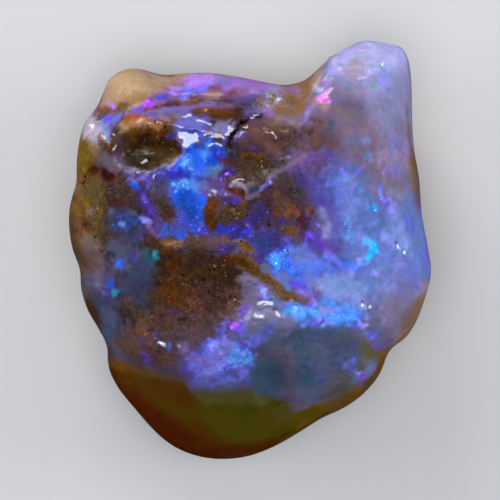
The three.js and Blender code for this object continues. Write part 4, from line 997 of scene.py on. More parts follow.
    ("clay", "smoke_brown", 0.9, 4, 3, (224, 221), (234, 220)),
    ("clay", "rose_brown", 0.9, 3, 2.6, (274, 211), (281, 213)),
    ("clay", "rose_brown", 0.9, 3.4, 3, (286, 213), (294, 215)),
    ("fire", "dim_violet", 0.9, 2.6, 2, (281, 220.5)),
    ("clay", "strip_brown", 0.9, 3.4, 3, (284, 230), (291, 233)),
    ("clay", "umber_mauve", 0.9, 3.4, 3, (312, 212)),
    ("clay", "ochre_brown", 0.9, 3.4, 3, (246, 245), (251, 249)),
    ("clay", "brown", 0.9, 4, 3, (224, 262), (238, 259), (250, 266)),
    ("fire", "dim_blue", 0.9, 5, 4.5, (256, 240), (268, 248)),
    ("clay", "smoke", 0.9, 4.4, 4, (290, 190), (300, 196)),
    ("clay", "pink_brown", 0.9, 4.4, 4, (275, 197), (282, 204)),
    # Touches all over the face, with painted highlights and painted shade among them.
    ("amber", "ochre_brown", 0.7, 5, 6, (148, 372), (160, 377), (174, 380), (186, 388)),
    ("amber", "amber", 0.8, 6, 6, (158, 382), (176, 386), (190, 394)),
    # Painted shade: darker amber along the bottom rim.
    ("amber", "amber_red", 0.8, 6, 7, (214, 453), (240, 452), (266, 445), (288, 437)),
    ("amber", "amber_tan", 0.8, 4, 5, (300, 428), (318, 420), (334, 412)),
    ("amber", "ochre_brown", 0.7, 3.5, 4, (384, 358), (378, 372), (368, 384), (356, 395), (344, 402)),
    ("milk", "slate_milk", 0.5, 12, 12, (300, 346), (318, 356), (330, 374)),
    ("clay", "umber_mauve", 0.55, 8, 7, (250, 168), (262, 170)),
    ("fire", "violet_fire", 1, 1, 0.9, (222, 177.5)),
    ("fire", "orchid", 1, 1, 0.9, (226, 174.5), (227.5, 174)),
    ("fire", "violet_fire", 1, 1.1, 0.9, (230, 177)),
    ("fire", "pink_fire", 0.9, 0.9, 0.8, (222, 181)),
    # Painted highlights: white spots on the horn's edge and top and at its foot, where glints of the key
    # softbox stand.
    ("milk", "milk_white", 0.9, 2.2, 1.8, (333.5, 61), (335.5, 69)),
    ("milk", "shoulder_white", 0.7, 1.6, 1.6, (330, 78), (327, 82)),
    ("milk", "milk_white", 0.9, 2.4, 1.8, (316.5, 87), (320, 94)),
    ("milk", "milk_white", 0.8, 1.4, 1.2, (361.5, 46)),
    ("milk", "milk_white", 0.8, 1.2, 1.2, (360.5, 53)),
    ("milk", "milk_white", 0.7, 1.5, 1.4, (382, 66)),
    ("milk", "milk_white", 0.7, 1.4, 1.4, (305.5, 116.5)),
    ("milk", "pale_grey_tan", 0.5, 6, 7, (356, 64), (353, 74)),
    ("milk", "milk_lavender", 0.5, 10, 10, (345, 58), (372, 56), (398, 66)),
    ("milk", "milk_blue", 0.5, 9, 9, (384, 78), (398, 84)),
    ("milk", "milk_lavender", 0.35, 12, 12, (385, 110), (395, 140)),
    ("milk", "lilac_blue", 0.45, 9, 8, (204, 362), (214, 352), (224, 346)),
    ("milk", "shoulder_white", 0.5, 8, 6, (88, 126), (94, 134)),
    ("fire", "dim_blue", 0.5, 8, 7, (186, 206), (190, 218)),
    ("clay", "smoke", 0.6, 8, 8, (160, 184), (164, 194)),
    ("clay", "smoke_brown", 0.5, 8, 8, (160, 230), (168, 238)),
    ("clay", "smoke", 0.5, 9, 8, (262, 232), (276, 238)),
    ("amber", "amber_olive", 0.6, 6, 6, (206, 390), (226, 392), (248, 394)),
    ("milk", "slate_milk", 0.5, 7, 6, (206, 380), (230, 383)),
    ("milk", "milk_grey", 0.45, 9, 9, (398, 80), (402, 110), (398, 130)),
    ("milk", "warm_grey", 0.5, 8, 7, (403, 128), (405, 160), (408, 180)),
    ("milk", "smoke_olive", 0.7, 3, 3, (409, 110), (411, 135), (414, 165), (418, 190)),
    ("milk", "milk_grey", 0.4, 9, 9, (380, 104), (384, 118)),
    ("clay", "mauve_brown", 0.5, 15, 12, (205, 302), (222, 312), (205, 325)),
    ("clay", "pink_brown", 0.45, 7, 9, (240, 286), (236, 303), (230, 316)),
    ("clay", "tan_brown", 0.35, 4, 3, (250, 262), (266, 276), (280, 289), (292, 300)),
    ("milk", "powder_blue", 0.4, 10, 8, (300, 262), (325, 266)),
    ("fire", "soft_blue", 0.5, 6, 6, (292, 252), (304, 252)),
    ("clay", "smoke", 0.5, 6, 5, (256, 208)),
    ("milk", "slate_milk", 0.5, 9, 8, (252, 326), (276, 331)),
    ("milk", "mauve_grey", 0.5, 6, 6, (247, 288), (252, 300)),
    ("milk", "warm_grey", 0.6, 4, 4, (424, 292), (418, 310), (408, 326)),
    ("milk", "tan_shade", 0.5, 6, 6, (404, 322), (412, 306)),
    ("clay", "clay_tan", 0.35, 12, 10, (308, 158), (318, 166)),
    ("clay", "pit_brown", 0.6, 6, 5, (134, 158), (144, 167)),
    ("clay", "olive_gold", 0.6, 6, 6, (77, 152), (80, 166)),
    ("potch", "bark", 0.5, 8, 8, (76, 246), (82, 262)),
    ("clay", "smoke", 0.55, 8, 8, (134, 258), (141, 268)),
    ("clay", "smoke_olive", 0.5, 8, 8, (100, 222), (104, 236)),
    ("fire", "true_blue", 0.55, 8, 8, (190, 198), (194, 214)),
    ("clay", "strip_brown", 0.8, 2.4, 2, (152, 167), (162, 165), (171, 161), (178, 156)),
    # Painted highlight: a thin light line along the pit's lower rim.
    ("milk", "milk_grey", 0.7, 0.8, 0.8, (152, 171), (163, 169.5), (174, 164.5), (183, 157.5), (187.5, 151)),
    ("clay", "smoke_brown", 0.5, 6, 6, (254, 169), (262, 171)),
    ("clay", "orange_brown", 0.45, 4, 3, (213, 203), (212, 226)),
    ("clay", "pink_brown", 0.55, 6, 5, (226, 212), (241, 211)),
    ("fire", "deep_violet", 0.7, 3.2, 3, (227, 202), (236, 201)),
    ("fire", "lavender_fire", 1, 0.9, 0.8, (229, 202)),
    ("fire", "lavender_fire", 0.9, 0.8, 0.8, (225, 204), (227, 204)),
    ("milk", "dusk_smoke", 0.6, 9, 8, (86, 246), (94, 262)),
    ("clay", "smoke_brown", 0.5, 8, 7, (124, 338), (134, 350)),
    ("milk", "mauve_tan", 0.5, 3, 4, (297, 85), (300, 96)),
    ("milk", "milk_white", 0.4, 9, 10, (345, 58), (366, 52), (385, 58)),
    ("milk", "milk_white", 0.35, 7, 8, (394, 64), (400, 84)),
    ("milk", "umber_mauve", 0.4, 10, 9, (208, 332), (218, 340)),
    ("milk", "heather", 0.35, 9, 8, (206, 336), (216, 328)),
    ("fire", "ultramarine", 0.35, 8, 8, (206, 178), (214, 190)),
    ("milk", "slate_milk", 0.4, 10, 9, (380, 108), (392, 124)),
    ("clay", "bark", 0.65, 8, 7, (68, 200), (67, 228), (71, 252), (76, 275)),
    ("clay", "bark", 0.5, 6, 6, (80, 290), (84, 312)),
    ("clay", "olive_gold", 0.6, 2.4, 2.4, (77, 206), (78, 212)),
    ("clay", "earth", 0.7, 3, 2.6, (77, 231)),
    ("clay", "olive_gold", 0.6, 2.4, 2, (83, 240)),
    ("clay", "edge_brown", 0.5, 4, 4, (80, 252), (84, 262)),
    ("clay", "ochre_brown", 0.5, 3, 3, (72, 238), (73, 246)),
    ("clay", "pit_brown", 0.7, 4.4, 3.4, (134, 164), (145, 168), (157, 166)),
    ("clay", "pit_brown", 0.6, 3, 2.6, (160, 164), (170, 160), (178, 154)),
    # Painted highlight: a thin light line along the pit's lower rim.
    ("milk", "milk_grey", 0.6, 0.8, 0.8, (134, 170.5), (146, 172.5), (158, 171)),
    ("fire", "deep_azure", 0.65, 8, 7, (186, 200), (192, 216)),
    ("fire", "violet_blue", 0.8, 5, 4, (206, 345), (217, 338), (224, 328)),
    ("fire", "lavender_fire", 0.6, 4, 4, (214, 347), (222, 339)),
    ("milk", "slate_milk", 0.35, 8, 8, (400, 80), (404, 100)),
    ("milk", "grey_mauve", 0.4, 9, 8, (340, 112), (356, 112)),
    ("milk", "milk_grey", 0.35, 9, 9, (350, 84), (360, 96)),
    ("clay", "smoke_brown", 0.4, 8, 8, (128, 244), (138, 262)),
    ("clay", "smoke_olive", 0.5, 7, 7, (96, 216), (98, 234)),
    ("clay", "bark", 0.6, 7, 7, (82, 256), (88, 266)),
    ("clay", "olive_gold", 0.5, 6, 5, (80, 158), (86, 168)),
    ("clay", "pit_brown", 0.5, 5, 5, (130, 155), (136, 163)),
    ("fire", "dim_violet", 0.5, 7, 7, (134, 258), (142, 266)),
    # Painted shade: darker amber along the lower left rim.
    ("amber", "amber_red", 0.5, 8, 9, (128, 402), (142, 416)),
    ("milk", "milk_grey", 0.35, 8, 8, (384, 108), (390, 118)),
    ("milk", "pale_lilac", 0.3, 9, 9, (384, 158), (392, 168)),
    ("fire", "lit_blue", 0.5, 8, 8, (334, 258), (344, 266)),
    ("clay", "earth", 0.4, 7, 7, (106, 354), (114, 362)),
    ("fire", "lit_blue", 0.45, 14, 12, (336, 182), (350, 202), (362, 232)),
    ("milk", "powder_blue", 0.45, 9, 9, (350, 206), (357, 230)),
    ("milk", "powder_blue", 0.5, 6, 6, (390, 212), (396, 236), (401, 256)),
    ("milk", "lilac_blue", 0.45, 6, 6, (404, 264), (412, 282)),
    ("fire", "sky_grey", 0.45, 6, 5, (350, 226), (345, 236)),
    ("fire", "azure", 0.4, 5, 5, (346, 264), (356, 268)),
    ("milk", "powder_blue", 0.5, 7, 7, (338, 288), (356, 292)),
    ("fire", "lavender_fire", 0.6, 1.6, 1.8, (388, 200), (391, 212)),
    ("fire", "violet_fire", 0.6, 1.6, 1.8, (402, 216), (406, 232)),
    ("milk", "milk_lavender", 0.45, 3, 3.4, (321, 210), (327, 222), (325, 236)),
    # Painted shade: darker amber along the lower left rim.
    ("amber", "amber_red", 0.4, 14, 14, (110, 396), (124, 418), (140, 438)),
    ("clay", "olive_brown", 0.35, 9, 9, (84, 152), (90, 170)),
    ("clay", "pit_brown", 0.3, 12, 12, (132, 160), (140, 172)),
    ("clay", "brown", 0.75, 3.4, 3.4, (197, 114), (212, 116), (228, 118), (241, 113)),
    ("clay", "rust", 0.6, 2.2, 3, (198, 110), (216, 111), (234, 111)),
    # Painted highlight: the yellow glint in the groove.
    ("clay", "yellow_glint", 0.9, 1.3, 1.2, (205.5, 111)),
    ("potch", "tan", 0.5, 2, 2.6, (176, 119), (182, 117)),
    ("clay", "olive_gold", 0.6, 6, 7, (82, 152), (84, 166)),
    ("clay", "dark_rust", 0.7, 2.4, 2.6, (91, 171), (98, 172)),
    ("potch", "pale_tan", 0.6, 9, 10, (122, 84), (136, 78), (148, 86)),
    ("potch", "pink_tan", 0.4, 7, 8, (156, 86), (172, 84)),
    ("clay", "olive_brown", 0.4, 6, 7, (84, 300), (92, 318)),
    ("clay", "brown", 0.5, 7, 8, (204, 186), (214, 196)),
    ("milk", "milk_white", 0.5, 6, 7, (352, 26), (366, 34), (380, 36)),
]

# Fine relief on the face, under what the cut solid has: height in mm, width and points.
RELIEF = [
    (-0.2, 2.2, (243, 122), (238, 129), (233, 140), (231, 150)),
    (0.1, 2.6, (96, 134), (101, 138)),
    (0.05, 2, (134, 169), (142, 171), (150, 171)),
    (0.05, 2, (170, 167), (180, 161), (188, 152)),
    (0.08, 2.4, (167, 158), (175, 155), (182, 150)),
    (0.06, 2.6, (154, 137), (162, 138), (170, 138)),
    (0.1, 2.6, (262, 306), (267, 310), (272, 313)),
    (0.08, 2.6, (230, 190), (236, 186), (244, 190)),
    (0.12, 2.6, (270, 98), (274, 103), (279, 99), (278, 95)),
    (0.22, 5, (334, 62), (337, 70), (330, 80), (320, 92), (308, 114)),
]

# Small worn facets that all lean the same way: reach around the points, lift in mm, and points.
FACET_LEAN = (0.22, -0.7)  # rise per mm to +X and to +Y
FACETS = [
    (9, 0.1, (184, 137), (190, 141), (196, 139), (187, 146)),
    (4.5, 0.05, (185, 119), (194, 117)),
    (4.5, 0.05, (214, 140), (224, 138)),
    (6, 0.1, (229, 135), (231, 131)),
    (6, 0.1, (237, 137), (243, 134)),
    (4.5, 0, (211, 147), (216, 145), (221, 148)),
    (5.5, 0, (261, 302), (271, 302)),
    (3.2, 0, (255, 312), (261, 316)),
    (4.2, 0.12, (144.5, 163.4), (148, 162.6)),
    (4, 0.1, (232, 183), (236, 180), (243, 181)),
    (3.5, 0.05, (243, 125), (251, 120), (257, 116)),
    (4, 0.05, (242, 128), (247, 129)),
    (3, 0.05, (264, 133), (271, 135), (277, 140)),
    (3, 0.05, (197, 120), (204, 123), (211, 127)),
    (2.6, 0.05, (369, 45.5)),
    (2.6, 0.05, (360.5, 52.5)),
    (3.2, 0.05, (381.5, 66.5), (383, 65)),
    (4, 0.05, (105, 136), (106, 139)),
    (3.5, 0.05, (115, 134)),
    (3.5, 0.05, (115, 150)),
    (4.5, 0.05, (91, 126), (95, 128)),
    (4, 0.05, (150, 126)),
    (4.5, 0, (161, 341), (165, 341)),
    (4, 0, (256, 285)),
    (3.5, 0, (249, 283)),
    (3.5, 0, (260, 291)),
    (3.5, 0.05, (299, 173)),
    (3.2, 0.05, (360, 304), (363, 307)),
    (3.2, 0.05, (366, 305), (369, 308)),
    (3.5, 0.05, (361, 324)),
    (4, 0, (400, 251), (402, 254)),
    (3, 0, (394, 245), (396, 248)),
    (3.2, 0.05, (274, 311), (280, 315)),
    (3.2, 0.05, (138.5, 175)),
    (3.2, 0.05, (155.5, 179.5)),
    (3, 0.05, (94, 177)),
    (3, 0.05, (149.5, 125.3)),
]

# How wet the skin looks where it isn't fully glossy: share, radius, soft edge and points.
GLOSS = [
    (0.12, 20, 14, (118, 90), (150, 90), (190, 90), (225, 93)),
    (0.45, 14, 12, (245, 97), (262, 104)),
    (0.3, 26, 16, (85, 180), (78, 230), (90, 280)),
    (0.25, 34, 16, (150, 265), (180, 285), (195, 300)),
    (0.1, 16, 10, (225, 316), (242, 322), (235, 308)),
    (0.2, 20, 12, (262, 172), (272, 165), (245, 172)),
    (0.2, 10, 8, (234, 240), (242, 238)),
    (0.35, 14, 12, (232, 110), (255, 112), (200, 104)),
    (0.4, 8, 8, (130, 120), (145, 121)),
    (0.3, 10, 8, (138, 149), (148, 151)),
    (0.5, 30, 20, (350, 110), (360, 150), (350, 200)),
    (0.35, 20, 16, (125, 380), (150, 410), (200, 440), (250, 440)),
    (0.9, 10, 8, (266, 306), (274, 311)),
    (0.15, 8, 7, (104, 150), (112, 166), (130, 176), (150, 180), (170, 172), (184, 158)),
    (0.15, 5, 5, (168, 162), (180, 156), (186, 146)),
    (0.04, 8, 4, (294, 131), (300, 124), (307, 114), (318, 92), (330, 78), (338, 66), (346, 54)),
    (1, 3.4, 2, (334, 62), (338, 69)),
    (1, 3.6, 2, (317, 88), (319, 94)),
    (1, 1.6, 1.4, (329, 82)),
    (1, 2.4, 1.6, (306, 116)),
    (1, 2.4, 1.6, (301, 121.5)),
    (0.05, 8, 6, (362, 74), (368, 72)),
    (1, 5, 2, (144.5, 163.4), (148, 162.6)),
]

# Fields of fractal noise: the width of their lumps in mm, their octaves and their seed. Each seed moves its
# field on by the step, which is in lumps.
SEED_STEP = (17.3, 5.1, 11.9)
FIELDS = {
    "drift_x": (2.4, 3, 1),
    "drift_y": (2.4, 3, 2),
    "tremor_x": (0.6, 2, 11),
    "tremor_y": (0.6, 2, 12),
    "wander_x": (3.5, 3, 13),
    "wander_y": (3.5, 3, 14),
    "grain": (0.4, 2, 3),
    "lump": (0.9, 2, 5),
    "broad": (2.2, 3, 4),
    "back_windows": (5, 3, 6),
    "back_edges": (1.4, 3, 7),
    "pitting": (0.9, 4, 8),
    "ripple": (2.2, 2, 9),
    "skin": (0.8, 2, 10),
}
RAGGED_MIX = {"grain": 0.4, "lump": 0.3, "broad": 0.2}  # what a ragged edge is made of
DRIFT = 0.1  # mm that strokes are off their place
TREMOR = 0.08
RELIEF_TREMOR = 0.12
FLANK_WANDER = 1.3  # mm that strokes stray on a steep flank, where they would else run down it as streaks
FLANK_DRAW = 0.06  # share by which they are drawn out over its rim
FLANK_LEVELS = (5.5, 8.5)  # mm up, where that fades out
FRONT_STRAY = (1.4, 0.3)  # mm that the front's edge wanders and drifts up and down
FACING_GAIN = 1.3  # how soon a slope counts as level
LEAST_LEVEL = 0.1
FLANK_SLOPES = (0.1, 0.6)  # how level a flank and a face are
RIM_SLOPES = (0.3, 0.8)  # how level the dull rim and the glossy face are
CLOUD = {"all": 0.02, "clay": 0.1, "fire": 0.26}  # how mottled the colours are
AMBER_CALM = 0.7  # how far amber is spared that

# The unseen back: how ragged its milky windows and its brown patches are, and between which values of their
# broad noise an edge lies. Its amber end begins some mm to -Y.
WINDOW_RAGGED = 0.3
WINDOW_EDGE = (0.0, 0.5)
PATCH_RAGGED = 0.4
PATCH_EDGE = (0.35, 0.8)
AMBER_STRAY = 2  # mm
AMBER_EDGE = (5, 9)

# Height of pitting in mm, which clay and fire have more of, and of ripples.
PITTING = {"all": 0.015, "clay": 0.05, "fire": 0.02}
RIPPLE = 0.05
FACET_CALM = 0.85  # how far facets are spared relief
FACET_SOFT = 0.5  # width of a facet's edge, as a share of its reach

CLEAR_GLOSS = 0.95
CLAY_LOSS = 0.3
GLOSS_SWING = 0.15
RIM_GLOSS = 0.2  # what the steep rim keeps of it

# Patterns of the finish: how many of their lumps or cells go to a mm.
SILT_PER_MM = 3.0
DUST_PER_MM = 8.0
WOBBLE_PER_MM = 5.0
GRAINS_PER_MM = 7.0
VEILS_PER_MM = 1.1
FLOCKS_PER_MM = 0.9
SAND_PER_MM = 8.0
WOBBLE_REACH = 0.3  # mm that cells are shaken out of shape
FIRE_GRAINS = ((2.4, 0.78, 1.2), (5.0, 0.70, 2.2), (9.0, 0.74, 5.0))  # cells to a mm, rarity and brightness
IRON_SPECKS = ((2.6, 0.55), (4.5, 0.6))  # cells to a mm and rarity
SAND_RARITY = 0.88
VEIL_EDGE = {"From Min": 0.35, "From Max": 0.65}  # of its noise, between which sea blue turns to violet
FLOCK_EDGE = {"From Min": 0.42, "From Max": 0.62, "To Min": 0.7}

# How strong each pattern is. A pair says how much at least, and how much more in full clay, or in full fire
# where the pattern is one of veils or fire.
DUST_SHARE = 0.8
MEAN_GRIT = 0.9
SILT_CONTRAST = (0.35, 1.1)
ODD_GRAINS = (0.3, 0.2)
GRAIN_CONTRAST = (0.15, 0.45)
VEIL_STRENGTH = (0.3, 0.5)
FIRE_EAGERNESS = (0.4, 0.65)
FIRE_SIZE = (0.2, 0.3)  # in cells
FIRE_GLOW = 0.3  # what the dullest grain adds
FIRE_TINT = 0.15
SPECK_SIZE = 0.3
SPECK_STRENGTH = 0.85
SAND_SIZE = 0.35
SAND_STRENGTH = 0.6
COAT_WAVE = (0.2, 0.8)
WAVE_UNDER_GLOSS = 1.2
ROUGHNESS = (0.3, 0.25)
DEPTH = (0.35, -0.25)

# Colour factors that lean a grain or a veil to another hue.
TO_VIOLET = (0.85, 0.75, 1.35, 1)
TO_OCHRE = (1.5, 1.15, 0.45, 1)
TO_SEA = (0.7, 1.16, 1.04, 1)
TO_ORCHID = (1.34, 0.84, 0.98, 1)

# Colours of grains, specks and the floor, as sRGB hex.
FIRE_BLUE = "#3a50ff"
FIRE_VIOLET = "#c080ff"
IRON = "#140a06"
SAND = "#d0b8a8"
BOARD = "#d2d3d5"

# Options of nodes that come again and again. LINE is the first times the second, plus the third.
PLUS = {"operation": "ADD"}
MINUS = {"operation": "SUBTRACT"}
TIMES = {"operation": "MULTIPLY"}
LINE = {"operation": "MULTIPLY_ADD"}
ABOVE = {"operation": "GREATER_THAN"}
BELOW = {"operation": "LESS_THAN"}
DEEP = {"Detail": 5.0, "Roughness": 0.7}
FINE = {"Detail": 3.0, "Roughness": 0.7}
BLEND = {"data_type": "RGBA"}
FILTER = {"data_type": "RGBA", "blend_type": "MULTIPLY", 0: 1.0}

# Soft boxes, in mm: place, what they aim at, size, power in W, and whether the gloss mirrors them.
LIGHTS = {
    "key_softbox": ((-80, 250, 90), (0, 0, 8), (140, 80), 0.45, True),
    "overhead_softbox": ((0, -60, 330), (0, 0, 8), (300, 240), 0.5, False),
    "left_softbox": ((-260, 40, 70), (0, 0, 6), (160, 110), 0.3, False),
    "right_softbox": ((260, 40, 70), (0, 0, 6), (160, 110), 0.4, False),
}
AIR_COLOUR = (0.9, 0.93, 1.0, 1)
AIR_STRENGTH = 0.35
FLOOR_REACH = 1.5  # m
CAMERA_AWAY = 350  # mm above the girdle
GIRDLE_LEVEL = 5.6  # mm up
SENSOR = 36  # mm


def linear(code):
    """The linear colour of an sRGB hex value."""
    parts = [int(code[i : i + 2], 16) / 255 for i in (1, 3, 5)]
    return tuple(p / 12.92 if p <= 0.04045 else ((p + 0.055) / 1.055) ** 2.4 for p in parts)


def solid(code):
    """The same, as a socket takes it."""
    return (*linear(code), 1)


def step(value, low, high):
    """Nought below low, one above high, and a smooth rise between."""
    share = np.clip((value - low) / (high - low), 0, 1)
    return share * share * (3 - 2 * share)


def field(points, name):
    """Fractal noise at each point, mostly from -1 to 1."""
    size, octaves, seed = FIELDS[name]
    shift = np.array(SEED_STEP) * seed
    values = np.array([noise.fractal(spot, 1.0, 2.0, octaves) for spot in (points / size + shift).tolist()])
    return np.clip((values - values.mean()) / (2 * values.std()), -1, 1)


def plane_field(points, name):
    """Two fields, one to X and one to Y."""
    return np.stack([field(points, f"{name}_{axis}") for axis in "xy"], axis=1)


def on_grid(plan):
    """Where places in plan, in mm, lie on the picture grid."""
    return FRAME_STEPS / 2 + STEPS * plan * (1, -1)


def distance(plan, points):
    """How far each place in plan is from a line through the points, all on the picture grid."""
    best = np.full(len(plan), np.inf)
    points = np.array(points, float)
    if len(points) == 1:
        return np.linalg.norm(plan - points[0], axis=1)
    for start, end in zip(points[:-1], points[1:]):
        along = end - start
        share = np.clip((plan - start) @ along / (along @ along), 0, 1)
        best = np.minimum(best, np.linalg.norm(plan - start - share[:, None] * along, axis=1))
    return best


def on_facet(plan, radius, points):
    """How far each place in plan belongs to a facet."""
    return step(distance(plan, points), radius, FACET_SOFT * radius)


def divided_stone():
    """A copy of the solid, merged, divided and smoothed, which keeps its flat rest face."""
    bm = bmesh.new()
    bm.from_mesh(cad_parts["opal"].data)
    bmesh.ops.remove_doubles(bm, verts=bm.verts, dist=ONE_PLACE)
    tops = {edge: max(v.co.z for v in edge.verts) for edge in bm.edges}
    face = [edge for edge, top in tops.items() if top > FRONT_LEVEL * MM]
    back = [edge for edge, top in tops.items() if top <= FRONT_LEVEL * MM]
    bmesh.ops.subdivide_edges(bm, edges=face, cuts=FACE_CUTS, use_grid_fill=True)
    bmesh.ops.subdivide_edges(bm, edges=back, cuts=BACK_CUTS, use_grid_fill=True)
    free = [v for v in bm.verts if v.co.z > REST_LEVEL]
    for _ in range(SMOOTHINGS):
        bmesh.ops.smooth_vert(bm, verts=free, factor=0.5, use_axis_x=True, use_axis_y=True, use_axis_z=True)
    bmesh.ops.recalc_face_normals(bm, faces=bm.faces)
    for face in bm.faces:
        face.smooth = True
    mesh = bpy.data.meshes.new("opal_stone")
    bm.to_mesh(mesh)
    bm.free()
    return mesh


def vertex_places(mesh):
    """Each vertex's place, in mm."""
    values = np.zeros(len(mesh.vertices) * 3, np.float32)
    mesh.vertices.foreach_get("co", values)
    return values.reshape(-1, 3).astype(float) / MM


def vertex_normals(mesh):
    values = np.zeros(len(mesh.vertices) * 3, np.float32)
    mesh.vertex_normals.foreach_get("vector", values)
    return values.reshape(-1, 3).astype(float)


def paint(places, plan, level):
    """Lays every stroke on the stone. Gives colour and finish, both with three channels a vertex."""
    grain, lump, broad = [field(places, name) for name in RAGGED_MIX]
    uneven = RAGGED_MIX["grain"] * grain + RAGGED_MIX["lump"] * lump + RAGGED_MIX["broad"] * broad
    colour = np.tile(linear(COLOURS["heather_grey"]), (len(places), 1))
    finish = np.tile(KINDS["milk"]["finish"], (len(places), 1)).astype(float)
    for kind, name, strength, radius, soft, *points in PAINT:
        matter = KINDS[kind]
        reach = (radius - distance(plan, points)) / (soft * matter["spread"]) + 0.5
        weight = strength * step(reach + matter["ragged"] * uneven, 0, 1)[:, None]
        colour += weight * (np.array(linear(COLOURS[name])) * matter["tint"] - colour)
        finish += weight * (np.array(matter["finish"]) - finish)
    clay, fire, amber = finish.T
    mottle = CLOUD["all"] + CLOUD["clay"] * clay + CLOUD["fire"] * fire
    mottle *= (grain + lump) * (1 - AMBER_CALM * amber) * level
    return colour * (1 + mottle)[:, None], finish


def back_paint(places):
    """The unseen back: tan potch with milky windows, brown patches and an amber end."""
    broad = field(places, "back_windows")[:, None]
    fine = field(places, "back_edges")[:, None]
    names = ("tan", "milk_grey", "amber", "tan_brown")
    tan, milk, amber, brown = [np.array(linear(COLOURS[name])) * KINDS["potch"]["tint"] for name in names]
    colour = tan + step(broad + WINDOW_RAGGED * fine, *WINDOW_EDGE) * (milk - tan)
    colour += step(-broad + PATCH_RAGGED * fine, *PATCH_EDGE) * (brown - colour)
    colour += step(-places[:, 1:2] + AMBER_STRAY * broad, *AMBER_EDGE) * (amber - colour)
    return colour


def fine_relief(places, plan, finish, level):
    """Height along the normal, in mm."""
    clay, fire, amber = finish.T
    pitting = PITTING["all"] + PITTING["clay"] * clay + PITTING["fire"] * fire
    height = pitting * field(places, "pitting") + RIPPLE * (1 - amber) * field(places, "ripple")
    height *= level
    for radius, _, *points in FACETS:
        height *= 1 - FACET_CALM * on_facet(plan, radius, points)
    for peak, width, *points in RELIEF:
        height += peak * np.exp(-((distance(plan, points) / width) ** 2))
    return height


def cut_facets(places, plan, front):
    """Flattens the face at each facet, in place."""
    for radius, lift, *points in FACETS:
        inside = front * on_facet(plan, radius, points)
        core = inside > 0.5
        slope = (places[:, :2] - places[core, :2].mean(axis=0)) @ FACET_LEAN
        places[:, 2] += inside * (places[core, 2].mean() + lift + slope - places[:, 2])


def gloss_map(places, plan, finish, level):
    """How strong the wet skin is. It thins out over the rim, which would mirror nothing but the dark."""
    gloss = CLEAR_GLOSS - CLAY_LOSS * finish[:, 0]
    for share, radius, soft, *points in GLOSS:
        weight = step((radius - distance(plan, points)) / soft + 0.5, 0, 1)
        gloss += weight * (share - gloss)
    gloss += GLOSS_SWING * field(places, "skin")
    gloss *= RIM_GLOSS + (1 - RIM_GLOSS) * step(level, *RIM_SLOPES)
    for radius, _, *points in FACETS:
        gloss = np.maximum(gloss, on_facet(plan, radius, points))
    return np.clip(gloss, 0, 1)


def store(mesh, name, values):
    """Keeps three channels a vertex as a colour attribute, which the finish reads."""
    layer = mesh.attributes.new(name, "FLOAT_COLOR", "POINT")
    rows = np.ones((len(values), 4), np.float32)
    rows[:, :3] = values
    layer.data.foreach_set("color", rows.ravel())


def add(tree, kind, settings):
    """Adds a node and gives its outputs. Settings are options, sockets' values, or outputs that feed them."""
    made = tree.nodes.new("ShaderNode" + kind)
    for key, value in settings.items():
        if isinstance(value, bpy.types.NodeSocket):
            tree.links.new(value, made.inputs[key])
        elif isinstance(key, str) and hasattr(made, key):
            setattr(made, key, value)
        else:
            made.inputs[key].default_value = value
    return made.outputs


def with_silt(tree, colour, stone):
    """Silt in the clay and faint cloud in the clear stone, 0.3 mm and 0.12 mm across."""
    least, more = SILT_CONTRAST
    dust = add(tree, "TexNoise", {**FINE, "Scale": DUST_PER_MM, 0: stone["mm"]})[0]
    grit = add(tree, "Math", {**LINE, 0: dust, 1: DUST_SHARE, 2: stone["silt"]})[0]
    grit = add(tree, "Math", {**MINUS, 0: grit, 1: MEAN_GRIT})[0]
    contrast = add(tree, "Math", {**LINE, 0: stone["clay"], 1: more, 2: least})[0]
    contrast = add(tree, "Math", {**TIMES, 0: contrast, 1: stone["level"]})[0]
    shade = add(tree, "Math", {**LINE, 0: grit, 1: contrast, 2: 1.0})[0]
    return add(tree, "Mix", {**FILTER, 6: colour, 7: shade})[2]


def with_odd_grains(tree, colour, stone):
    """Grains about 0.14 mm across that lean to violet in some and to ochre in others."""
    least, more = ODD_GRAINS
    grain = add(tree, "TexVoronoi", {"Scale": GRAINS_PER_MM, 0: stone["shaken"]})
    lean, odd, shade = add(tree, "SeparateColor", {0: grain["Color"]})
    hue = add(tree, "Mix", {**BLEND, 0: lean, 6: TO_VIOLET, 7: TO_OCHRE})[2]
    odd = add(tree, "Math", {"operation": "POWER", 0: odd, 1: 2.0})[0]
    most = add(tree, "Math", {**LINE, 0: stone["clay"], 1: more, 2: least})[0]
    odd = add(tree, "Math", {**TIMES, 0: odd, 1: most})[0]
    odd = add(tree, "Math", {**TIMES, 0: odd, 1: stone["not_amber"]})[0]
    tinted = add(tree, "Mix", {**FILTER, 6: colour, 7: hue})[2]
    colour = add(tree, "Mix", {**BLEND, 0: odd, 6: colour, 7: tinted})[2]
    least, more = GRAIN_CONTRAST
    shade = add(tree, "Math", {**MINUS, 0: shade, 1: 0.5})[0]
    contrast = add(tree, "Math", {**LINE, 0: stone["clay"], 1: more, 2: least})[0]
    shade = add(tree, "Math", {**TIMES, 0: shade, 1: contrast})[0]
    shade = add(tree, "Math", {**LINE, 0: shade, 1: stone["level"], 2: 1.0})[0]
    return add(tree, "Mix", {**FILTER, 6: colour, 7: shade})[2]


